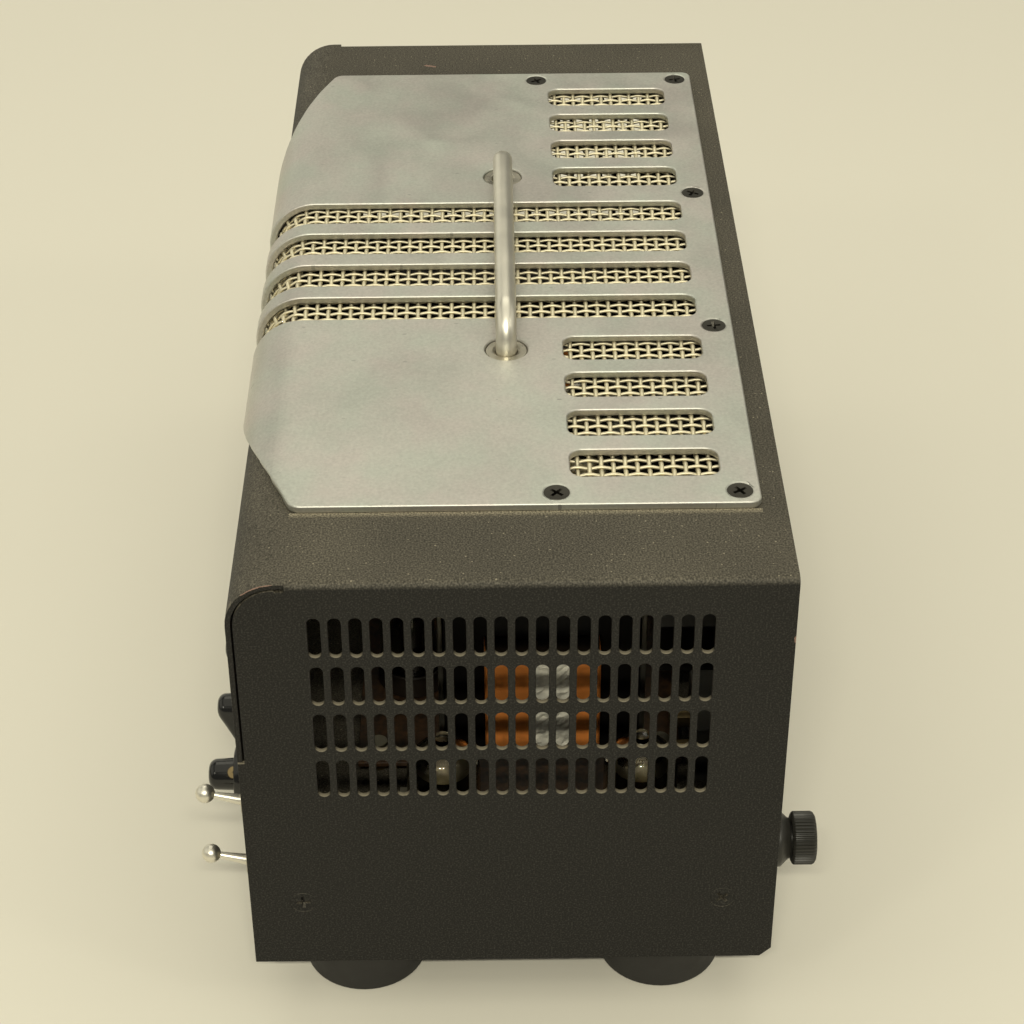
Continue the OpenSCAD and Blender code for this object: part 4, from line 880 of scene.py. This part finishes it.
def mesh_panels():
    """Sizes of the mesh panels, read off the CAD mesh: side panels from and to in X, their front, the
    rear edge of all, and half the width of the middle one."""
    spots = [v.co for v in frame["nodes"]["wire_mesh"].data.vertices]
    mid_x = max(v.x for v in spots if v.y < ROLL_Y - 1 * MM)
    side = [v for v in spots if v.x > mid_x + 1 * MM]
    return min(v.x for v in side), MESH_HIGH.x, min(v.y for v in side), MESH_HIGH.y, mid_x


def screw_head():
    """Face of a countersunk cross-head screw, looking up +Z, with its recess and its cone."""
    radius = sizes().screw_r
    arm, half, depth, rim, cone = 0.58 * radius, 0.13 * radius, 1.3 * MM, 0.16 * MM, 1.8 * MM
    # Shares by which the recess narrows to its floor and the cone to its foot
    pit_share, foot_share = 0.55, 0.5
    bm = bmesh.new()
    count = 40
    face_r = radius - rim
    angles = [2 * math.pi * k / count for k in range(count)]
    ring = [bm.verts.new((face_r * math.cos(a), face_r * math.sin(a), 0)) for a in angles]
    corners = ((arm, -half), (arm, half), (half, half))
    cross = []
    for k in range(4):
        turn = Matrix.Rotation(k * math.pi / 2, 2)
        cross += [turn @ Vector(corner) for corner in corners]
    mouth = [bm.verts.new((x, y, -0.05 * MM)) for x, y in cross]
    pit = [bm.verts.new((pit_share * x, pit_share * y, -depth)) for x, y in cross]
    edges = [bm.edges.new((loop[k], loop[k - 1])) for loop in (ring, mouth) for k in range(len(loop))]
    bmesh.ops.triangle_fill(bm, use_beauty=True, edges=edges)
    bridge(bm, mouth, pit)
    bm.faces.new(pit)
    lower = [bm.verts.new((v.co.x * radius / face_r, v.co.y * radius / face_r, -rim)) for v in ring]
    foot = [bm.verts.new((v.co.x * foot_share, v.co.y * foot_share, -cone)) for v in ring]
    bridge(bm, ring, lower)
    bridge(bm, lower, foot)
    bm.faces.new(foot)
    merge_outward(bm, 30)
    return object_from(bm, "screw_head", MATERIALS["black_oxide"])


class AMP_OT_screws(bpy.types.Operator):
    """Cross-head screws: dark in the plate, painted over low on the ends, black beside the mains inlet"""
    bl_idname = "amp.screws"
    bl_label = "Screws"

    def execute(self, context):
        spin = random.Random(7)
        sunk = 0.12 * MM
        for name, node, finish, axis in (
            ("plate_screws", "grille_screws", "worn_oxide", 2),
            ("case_screws", "cover_screws", "black_powder_coat", 0),
            ("socket_screws", "inlet_screws", "black_oxide", 1),
        ):
            places, turns = [], []
            for centre, out in screw_places(node, axis):
                places.append(centre - out * sunk)
                aim = Vector((0, 0, 1)).rotation_difference(out).to_matrix()
                turned = aim @ Matrix.Rotation(spin.uniform(0, math.pi / 2), 3, "Z")
                turns.append(turned.to_euler())
            obj = scatter(name, screw_head(), places, turns, MATERIALS[finish])
            finish_piece(obj, CASE, "black_oxide", node)
        return {"FINISHED"}


def loose_parts(node):
    """Lowest and highest corner of each separate solid of a CAD node."""
    bm = node_copy(node)
    left = set(bm.verts)
    boxes = []
    while left:
        grown = [left.pop()]
        spots = []
        while grown:
            vert = grown.pop()
            spots.append(vert.co.copy())
            for edge in vert.link_edges:
                other = edge.other_vert(vert)
                if other in left:
                    left.remove(other)
                    grown.append(other)
        boxes.append((
            Vector(min(s[i] for s in spots) for i in range(3)),
            Vector(max(s[i] for s in spots) for i in range(3)),
        ))
    bm.free()
    return sorted(boxes, key=lambda pair: tuple(round(c, 5) for c in pair[0]))


def screw_places(node, axis):
    """Middle of each screw's face and the way that it looks, for screws along one axis of the frame."""
    found = []
    for low, high in loose_parts(node):
        middle = (low + high) / 2
        out = Vector((0, 0, 0))
        out[axis] = 1.0 if axis == 2 or middle[axis] > 0 else -1.0
        middle[axis] = high[axis] if out[axis] > 0 else low[axis]
        found.append((middle, out))
    return found


def sweep(bm, path, radius, sides):
    """A round rod along a path that lies in an upright plane along X, closed at both ends."""
    across = Vector((0, 1, 0))
    rings = []
    for k, spot in enumerate(path):
        ahead = (path[min(k + 1, len(path) - 1)] - path[max(k - 1, 0)]).normalized()
        up = ahead.cross(across)
        rings.append([
            bm.verts.new(spot + radius * (math.cos(angle) * across + math.sin(angle) * up))
            for angle in (2 * math.pi * j / sides for j in range(sides))
        ])
    for low, high in zip(rings, rings[1:]):
        bridge(bm, low, high)
    for ring in (rings[0], rings[-1]):
        bm.faces.new(ring)


class AMP_OT_handle(bpy.types.Operator):
    """Pull-up handle: the plated rod, its bushes in the plate and the stop collars on its hidden ends"""
    bl_idname = "amp.handle"
    bl_label = "Handle"

    def execute(self, context):
        low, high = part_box("handle_rod")
        middle_y, radius, bend = (low.y + high.y) / 2, (high.y - low.y) / 2, 9 * MM
        start_x, end_x, elbow_z = low.x + radius + bend, high.x - radius - bend, high.z - radius - bend
        turns = quarter(12)
        path = [Vector((start_x - bend, middle_y, low.z))]
        path += [
            Vector((start_x - bend * math.cos(a), middle_y, elbow_z + bend * math.sin(a))) for a in turns
        ]
        path += [
            Vector((end_x + bend * math.sin(a), middle_y, elbow_z + bend * math.cos(a))) for a in turns
        ]
        path.append(Vector((end_x + bend, middle_y, low.z)))
        bm = bmesh.new()
        sweep(bm, path, radius, 36)
        merge_outward(bm, 40)
        body = NODE_BODY["handle_rod"]
        piece_from(bm, "handle_rod_plated", "chrome_plate", body, "chrome_plate", "handle_rod")
        dress_all("handle_bushings", "handle_collars")
        return {"FINISHED"}


class AMP_OT_feet(bpy.types.Operator):
    """Tapered rubber feet and the screws in them"""
    bl_idname = "amp.feet"
    bl_label = "Feet"

    def execute(self, context):
        dress_all("rubber_feet", "foot_screws")
        return {"FINISHED"}


# Bar of a knob: its round tail, how far back the tail's middle lies, its round tip and its reach
TAIL_R, TAIL_BACK, TIP_R, REACH = 4.9 * MM, 1.0 * MM, 1.3 * MM, 12.6 * MM


def pointer_half(steps=10):
    """Half of the outline of a knob's bar, from the back of its round tail to its tip along +Y."""
    tail = [math.radians(-90 + 90 * k / steps) for k in range(steps + 1)]
    tip = quarter(steps)
    points = [Vector((TAIL_R * math.cos(a), TAIL_R * math.sin(a) - TAIL_BACK)) for a in tail]
    points += [Vector((TIP_R * math.cos(a), REACH - TIP_R + TIP_R * math.sin(a))) for a in tip]
    low, high = points[steps], points[steps + 1]
    flank = [low.lerp(high, k / steps) for k in range(1, steps)]
    return points[:steps + 1] + flank + points[steps + 1:]


def half_width(along):
    """Half of the bar's width at a distance along it, from its tail to its tip."""
    share = (along + TAIL_BACK) / (REACH - TIP_R + TAIL_BACK)
    return TAIL_R + (TIP_R - TAIL_R) * min(max(share, 0.0), 1.0)


def inset(half, amounts):
    """The half outline, each point drawn in by its amount along its normal; its ends stay on the middle
    line."""
    drawn = []
    for k, (point, amount) in enumerate(zip(half, amounts)):
        along = half[min(k + 1, len(half) - 1)] - half[max(k - 1, 0)]
        if k in (0, len(half) - 1):
            along = Vector((1.0 if k == 0 else -1.0, 0))
        inward = Vector((-along.y, along.x)).normalized()
        moved = point + inward * amount
        drawn.append(Vector((max(moved.x, 0.0), moved.y)))
    return drawn


def bar_height(along, height):
    """Height of the bar's top at a distance along it: level over the tail, then falling to the tip."""
    level_to, fall, ease = 0.7 * MM, 0.64, 1.2 * MM
    past = along - level_to
    if past < -ease:
        return height
    if past < ease:
        return height - fall * (past + ease) ** 2 / (4 * ease)
    return height - fall * past


def build_knob(node, joint):
    """One pointer knob: a coned skirt, a bar with a rounded and falling top, a white line along it and a
    brass screw in its tail, turned as the frame's knob rests."""
    low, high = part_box(node)
    axis_x, _, axis_z = joint["pos_m"]
    base_y, height = high.y, high.y - low.y
    rest = -SWING - joint["range_deg"][0]
    place = Matrix.Translation((axis_x, base_y, axis_z)) @ Matrix.Rotation(math.radians(rest), 4, "Y")
    place = place @ Matrix.Rotation(math.radians(90), 4, "X")
    body = NODE_BODY[node]
    draft = 0.5 * MM
    bm = bmesh.new()
    # Bar, from its foot up its flanks and round its shoulder, which is rounded less where the bar is narrow
    half = pointer_half()
    radii = [min(sizes().knob_round, 0.85 * (half_width(p.y) - draft)) for p in half]
    loops = []
    for angle in [None] + [math.radians(15 * k) for k in range(7)]:
        over = 0.0 if angle is None else 1 - math.cos(angle)
        right = inset(half, [0.0 if angle is None else draft + r * over for r in radii])
        ring = [
            (p.x, p.y, 0.0 if angle is None else bar_height(p.y, height) - r * (1 - math.sin(angle)))
            for p, r in zip(right, radii)
        ]
        ring += [(-x, y, z) for x, y, z in reversed(ring[1:-1])]
        loops.append([bm.verts.new(spot) for spot in ring])
    for under, over in zip(loops, loops[1:]):
        bridge(bm, under, over)
    for loop in (loops[0], loops[-1]):
        count = len(loop)
        for k in range(count // 2):
            ends = (k, k + 1, (count - k - 1) % count, (count - k) % count)
            bm.faces.new(list(dict.fromkeys(loop[end] for end in ends)))
    # Skirt under the bar, with a rounded rim
    foot_r, flare_r, crown_r, rim, tall = 9.7 * MM, 9.4 * MM, 7.6 * MM, 0.6 * MM, 5.0 * MM
    skirt = [(0, 0), (foot_r, 0)] + arc(flare_r, rim, rim, -60, 20, 4)
    skirt += arc(crown_r, tall - rim, rim, 20, 90, 4) + [(0, tall)]
    lathe(bm, skirt, Vector((0, 0, 0)), Vector((0, 0, 1)))
    merge_outward(bm, 40)
    bm.transform(place)
    piece_from(bm, node + "_moulding", "knob_phenolic", body, "knob_phenolic", node)
    # Line inlaid along the falling top, from the middle to the tip
    line = bmesh.new()
    wide, proud, sunk = 0.5 * MM, 0.06 * MM, 0.4 * MM
    start_mm, long_mm, steps = 2.5, 9.0, 6
    spots = [(start_mm + long_mm * k / steps) * MM for k in range(steps + 1)]
    tops, foot = (
        [[line.verts.new((s * wide, y, bar_height(y, height) + rise)) for s in (-1, 1)] for y in spots]
        for rise in (proud, -sunk)
    )
    for k in range(len(spots) - 1):
        line.faces.new((tops[k][0], tops[k][1], tops[k + 1][1], tops[k + 1][0]))
        line.faces.new((foot[k][1], foot[k][0], foot[k + 1][0], foot[k + 1][1]))
        for s in (0, 1):
            line.faces.new((tops[k][s], tops[k + 1][s], foot[k + 1][s], foot[k][s]))
    for k in (0, -1):
        line.faces.new((tops[k][0], tops[k][1], foot[k][1], foot[k][0]))
    merge_outward(line)
    line.transform(place)
    piece_from(line, node + "_line", "print_white", body, "knob_phenolic")
    # Slotted screw in the tail
    screw = bmesh.new()
    tail = Vector((0, -TAIL_R - TAIL_BACK + 0.08 * MM, 5.1 * MM))
    face = [(0, -0.35 * MM), (0.25 * MM, -0.35 * MM), (0.3 * MM, 0), (1.6 * MM, 0), (1.75 * MM, -0.15 * MM),
            (1.75 * MM, -2.2 * MM), (0, -2.2 * MM)]
    lathe(screw, face, tail, Vector((0, -1, 0)), 28)
    merge_outward(screw, 30)
    screw.transform(place)
    piece_from(screw, node + "_set_screw", "pin_brass", body, "pin_brass")


class AMP_OT_knobs(bpy.types.Operator):
    """Gloss black pointer knobs on their shafts"""
    bl_idname = "amp.knobs"
    bl_label = "Knobs"

    def execute(self, context):
        for k in range(1, KNOB_COUNT + 1):
            build_knob(f"knob_{k}", JOINTS[f"knob_{k}_turn"])
            recoat(f"pot_shaft_{k}")
        return {"FINISHED"}


def build_lever(node, joint):
    """One toggle lever, from the ball in its bush along its tapered stem to the ball at its tip."""
    low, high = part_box(node)
    pivot = Vector(joint["pos_m"])
    tip_r, root_r, neck_r, pivot_r = 2.65 * MM, 1.65 * MM, 0.9 * MM, 1.6 * MM
    # The tip's ball touches the foremost face of the frame's lever, and its lowest or highest one
    drop = high.z - pivot.z > pivot.z - low.z
    tip = Vector((pivot.x, low.y + tip_r, high.z - tip_r if drop else low.z + tip_r))
    reach = (tip - pivot).length
    bm = bmesh.new()
    stem_end = math.degrees(math.asin(neck_r / tip_r))
    outline = arc(0, 0, pivot_r, -90, 0, 6)
    outline[0] = (0, -pivot_r)
    outline += [(root_r, 0.4 * MM)]
    outline += [(r, reach + z) for r, z in arc(0, 0, tip_r, stem_end - 90, 90, 14)]
    outline[-1] = (0, reach + tip_r)
    lathe(bm, outline, pivot, (tip - pivot).normalized(), 32)
    merge_outward(bm, 40)
    piece_from(bm, node + "_plated", "chrome_plate", NODE_BODY[node], "chrome_plate", node)


class AMP_OT_toggles(bpy.types.Operator):
    """Ball-tipped toggle levers, with their bushes and nuts on the control panel"""
    bl_idname = "amp.toggles"
    bl_label = "Toggles"

    def execute(self, context):
        for name in ("power", "standby"):
            build_lever(name + "_lever", JOINTS[name + "_switch_tip"])
        dress_all("toggle_bodies", "toggle_nuts")
        return {"FINISHED"}


class AMP_OT_sockets(bpy.types.Operator):
    """Jack sockets, pilot lamp, mains inlet and their nuts and pins"""
    bl_idname = "amp.sockets"
    bl_label = "Sockets"

    def execute(self, context):
        dress_all(
            "input_jack", "speaker_jacks", "loop_jacks", "jack_nuts", "pot_nuts", "pilot_bezel",
            "pilot_jewel", "mains_inlet", "inlet_pins",
        )
        return {"FINISHED"}


class AMP_OT_fuse(bpy.types.Operator):
    """Fuse holder with its ribbed cap on the rear panel"""
    bl_idname = "amp.fuse"
    bl_label = "Fuse"

    def execute(self, context):
        dress_all("fuse_holder", "fuse_nut")
        low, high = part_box("fuse_cap")
        middle = (low + high) / 2
        radius = (high.x - low.x) / 2
        stem_r, stem_l, rib = 4.4 * MM, 8 * MM, 0.42 * MM
        start = low.y + stem_l
        end = high.y - start
        bm = bmesh.new()
        steps = sizes().cap_ribs * 4
        outline = [(0, -stem_l), (stem_r, -stem_l), (stem_r, 0), (radius - 0.9 * MM, 0),
                   (radius - 0.3 * MM, 0.3 * MM), (radius, 0.7 * MM), (radius, end - 1.0 * MM),
                   (radius - 0.3 * MM, end - 0.45 * MM), (radius - 1.0 * MM, end), (radius - 2.6 * MM, end),
                   (radius - 3.0 * MM, end - 0.5 * MM), (0, end - 0.5 * MM)]
        rings = lathe(bm, outline, Vector((middle.x, start, middle.z)), Vector((0, 1, 0)), steps)
        for ring in rings[4:8]:
            for k, vert in enumerate(ring):
                if k % 4 in (2, 3):
                    inward = Vector((middle.x - vert.co.x, 0, middle.z - vert.co.z)).normalized()
                    vert.co += inward * rib
        merge_outward(bm, 32)
        body = NODE_BODY["fuse_cap"]
        piece_from(bm, "ribbed_fuse_cap", "black_nylon", body, "black_nylon", "fuse_cap")
        return {"FINISHED"}


class AMP_OT_valves(bpy.types.Operator):
    """Glass valves with their electrodes, the silver flash under each dome, and their sockets"""
    bl_idname = "amp.valves"
    bl_label = "Valves"

    def execute(self, context):
        # Nipple on a valve's dome, its glass and the silver film inside
        tip, glass, film = 2 * MM, 1.0 * MM, 0.3 * MM
        flash = bmesh.new()
        for node in ("preamp_tubes", "power_tubes"):
            dress_all(node)
            for low, high in loose_parts(node):
                middle = (low + high) / 2
                radius = (high.x - low.x) / 2
                dome = high.z - tip - radius
                inner = radius - glass
                outline = arc(0, 0, inner, 25, 89, 8) + [(0, inner), (0, inner - film)]
                outline += arc(0, 0, inner - film, 89, 25, 8)
                rings = lathe(flash, outline, Vector((middle.x, middle.y, dome)), Vector((0, 0, 1)), 32)
                bridge(flash, rings[0], rings[-1])
        merge_outward(flash, 40)
        piece_from(flash, "getter_flashes", "getter", CASE, "anode_metal")
        dress_all("tube_plates", "tube_sockets")
        return {"FINISHED"}


class AMP_OT_transformers(bpy.types.Operator):
    """Output and mains transformers: stacked cores, taped windings and the label on the near one"""
    bl_idname = "amp.transformers"
    bl_label = "Transformers"

    def execute(self, context):
        dress_all("output_core", "mains_core", "output_coil", "mains_coil", "output_frame")
        finish_piece(label(), CASE, "coil_tape")
        return {"FINISHED"}


def label():
    """Crumpled strip of paper down the face of the output winding."""
    low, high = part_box("output_coil")
    crush = random.Random(3)
    wide, tall = 8, 26
    left, right = 6.4 * MM, 16.6 * MM
    bm = bmesh.new()
    grid = [
        [
            bm.verts.new((
                high.x + 0.25 * MM + crush.uniform(0, 0.9) * MM * (0.3 if col in (0, wide) else 1.0),
                left + (right - left) * col / wide + crush.uniform(-0.3, 0.3) * MM,
                low.z + (high.z - low.z) * row / tall,
            ))
            for col in range(wide + 1)
        ]
        for row in range(tall + 1)
    ]
    for row in range(tall):
        for col in range(wide):
            bm.faces.new((grid[row][col], grid[row][col + 1], grid[row + 1][col + 1], grid[row + 1][col]))
    bmesh.ops.recalc_face_normals(bm, faces=bm.faces)
    obj = object_from(bm, "winding_label", MATERIALS["label_paper"])
    thick = obj.modifiers.new("thickness", "SOLIDIFY")
    thick.thickness = 0.15 * MM
    thick.offset = 1
    return settle(obj)


class AMP_OT_board(bpy.types.Operator):
    """Circuit board with its spacers, screws and filter capacitors, and the bodies of the controls"""
    bl_idname = "amp.board"
    bl_label = "Board"

    def execute(self, context):
        dress_all("filter_capacitors", "main_board", "pot_bodies")
        for node in ("board_standoffs", "board_screws", "transformer_screws", "fuse"):
            recoat(node)
        return {"FINISHED"}


class AMP_OT_dials(bpy.types.Operator):
    """Printed marks round each knob on the control panel"""
    bl_idname = "amp.dials"
    bl_label = "Dials"

    def execute(self, context):
        inner, outer, half = 11.6 * MM, 13.2 * MM, 0.25 * MM
        film = 0.04 * MM
        tick = bmesh.new()
        middle = Matrix.Translation((0, 0, (inner + outer) / 2))
        shape = Matrix.Diagonal((2 * half, film, outer - inner, 1))
        bmesh.ops.create_cube(tick, size=1.0, matrix=middle @ shape)
        template = object_from(tick, "dial_tick", MATERIALS["print_white"])
        places, turns = [], []
        count = sizes().dial_ticks
        for k in range(1, KNOB_COUNT + 1):
            x, _, z = JOINTS[f"knob_{k}_turn"]["pos_m"]
            for step in range(count):
                places.append((x, CASE_LOW.y - film / 4, z))
                turns.append((0, math.radians(-SWING + 2 * SWING * step / (count - 1)), 0))
        obj = scatter("dial_marks", template, places, turns, MATERIALS["print_white"])
        finish_piece(obj, CASE, "black_powder_coat")
        return {"FINISHED"}


class AMP_OT_stage(bpy.types.Operator):
    """Pale studio floor, soft lamps and the camera"""
    bl_idname = "amp.stage"
    bl_label = "Stage"

    def execute(self, context):
        make_floor()
        make_lamps()
        make_camera()
        scene = context.scene
        scene.view_settings.view_transform = "Standard"
        world = bpy.data.worlds.new("studio")
        world.use_nodes = True
        sky = world.node_tree.nodes["Background"]
        feed(world.node_tree, sky, {"Color": linear("#F4F0DE"), "Strength": 0.26})
        scene.world = world
        return {"FINISHED"}


def make_floor():
    """A wide floor under the object."""
    bm = bmesh.new()
    bmesh.ops.create_grid(bm, x_segments=1, y_segments=1, size=6.0)
    made, tree, shader, place = start_material("studio_floor")
    cloud = add(tree, "TexNoise", {"Vector": place, "Scale": 1 / 0.4, "Detail": 2.0})
    pale = palette().floor
    tone = add(tree, "Mix", {0: cloud, 6: shade(pale, 0.98), 7: shade(pale, 1.02)}, data_type="RGBA")
    feed(tree, shader, {"Base Color": tone, "Roughness": 0.7})
    object_from(bm, "floor", made)


# Soft lamps, each with its place, power, width and height: a broad one overhead, a narrow strip high behind
# the camera, pale walls at the far end and to each side, and a small box to each side for the highlights
LAMPS = (
    ("overhead", (0.1, 0.0, 1.9), 13, 2.4, 2.4),
    ("key_strip", (2.2, -0.05, 2.2), 48, 1.0, 0.07),
    ("far_wall", (-1.45, 0.0, 1.85), 7.6, 1.8, 1.0),
    ("left_wall", (0.0, -1.6, 0.9), 4.5, 1.8, 1.2),
    ("far_left_wall", (-1.45, -1.0, 0.55), 2.4, 1.4, 0.9),
    ("right_wall", (0.0, 1.6, 0.9), 3.4, 1.8, 1.2),
    ("front_box", (1.48, -1.33, 1.67), 3, 0.3, 0.3),
    ("rear_box", (1.0, 1.72, 1.67), 3, 0.3, 0.3),
)


def make_lamps():
    """The soft lamps, all aimed at the middle of the case."""
    middle = Vector((0.0, 0.0, 0.1))
    for name, place, power, wide, tall in LAMPS:
        lamp = bpy.data.lights.new(name, "AREA")
        lamp.shape = "RECTANGLE"
        lamp.size, lamp.size_y, lamp.energy = wide, tall, power
        lamp.color = linear("#FFFAE4")[:3]
        obj = bpy.data.objects.new(name, lamp)
        obj.location = place
        obj.rotation_euler = (middle - Vector(place)).to_track_quat("-Z", "Y").to_euler()
        bpy.context.scene.collection.objects.link(obj)


# The camera that matches the photograph: place, turn in degrees and lens
CAMERA_AT = Vector((0.6311, -0.0044, 0.5071))
CAMERA_TURN = (-0.31471, -35.3852, -0.5719)
CAMERA_LENS = 83.70
SENSOR = 36.0


def make_camera():
    """The camera, looking as the photograph does."""
    lens = bpy.data.cameras.new("photo_view")
    lens.lens = CAMERA_LENS
    lens.sensor_width = SENSOR
    lens.sensor_fit = "HORIZONTAL"
    lens.clip_start = 0.01
    roll, pitch, yaw = (math.radians(a) for a in CAMERA_TURN)
    turn = Matrix.Rotation(yaw, 3, "Z") @ Matrix.Rotation(pitch, 3, "Y") @ Matrix.Rotation(roll, 3, "X")
    right, up, back = turn @ Vector((0, 1, 0)), turn @ Vector((0, 0, 1)), turn @ Vector((1, 0, 0))
    obj = bpy.data.objects.new("photo_view", lens)
    obj.matrix_world = Matrix.Translation(CAMERA_AT) @ Matrix((right, up, back)).transposed().to_4x4()
    bpy.context.scene.collection.objects.link(obj)
    bpy.context.scene.camera = obj


PIECES = (
    AMP_OT_finishes, AMP_OT_case, AMP_OT_grille_plate, AMP_OT_wire_mesh, AMP_OT_screws, AMP_OT_handle,
    AMP_OT_feet, AMP_OT_knobs, AMP_OT_toggles, AMP_OT_sockets, AMP_OT_fuse, AMP_OT_valves,
    AMP_OT_transformers, AMP_OT_board, AMP_OT_dials, AMP_OT_stage,
)


class AMP_PT_panel(bpy.types.Panel):
    """Lists the amplifier's pieces, sizes and colours"""
    bl_idname = "AMP_PT_panel"
    bl_label = "Amplifier head"
    bl_space_type = "VIEW_3D"
    bl_region_type = "UI"
    bl_category = "Amplifier"

    def draw(self, context):
        for piece in PIECES:
            self.layout.operator(piece.bl_idname)
        for group in (context.scene.amp_sizes, context.scene.amp_colours):
            for name in group.bl_rna.properties.keys():
                if name not in ("rna_type", "name"):
                    self.layout.prop(group, name)


CLASSES = (AmpColours, AmpSizes) + PIECES + (AMP_PT_panel,)


def register():
    for kind in CLASSES:
        bpy.utils.register_class(kind)
    bpy.types.Scene.amp_colours = PointerProperty(type=AmpColours)
    bpy.types.Scene.amp_sizes = PointerProperty(type=AmpSizes)


def unregister():
    del bpy.types.Scene.amp_sizes
    del bpy.types.Scene.amp_colours
    for kind in reversed(CLASSES):
        bpy.utils.unregister_class(kind)


def main():
    register()
    for piece in PIECES:
        group, name = piece.bl_idname.split(".")
        getattr(getattr(bpy.ops, group), name)()


if __name__ == "__main__":
    main()
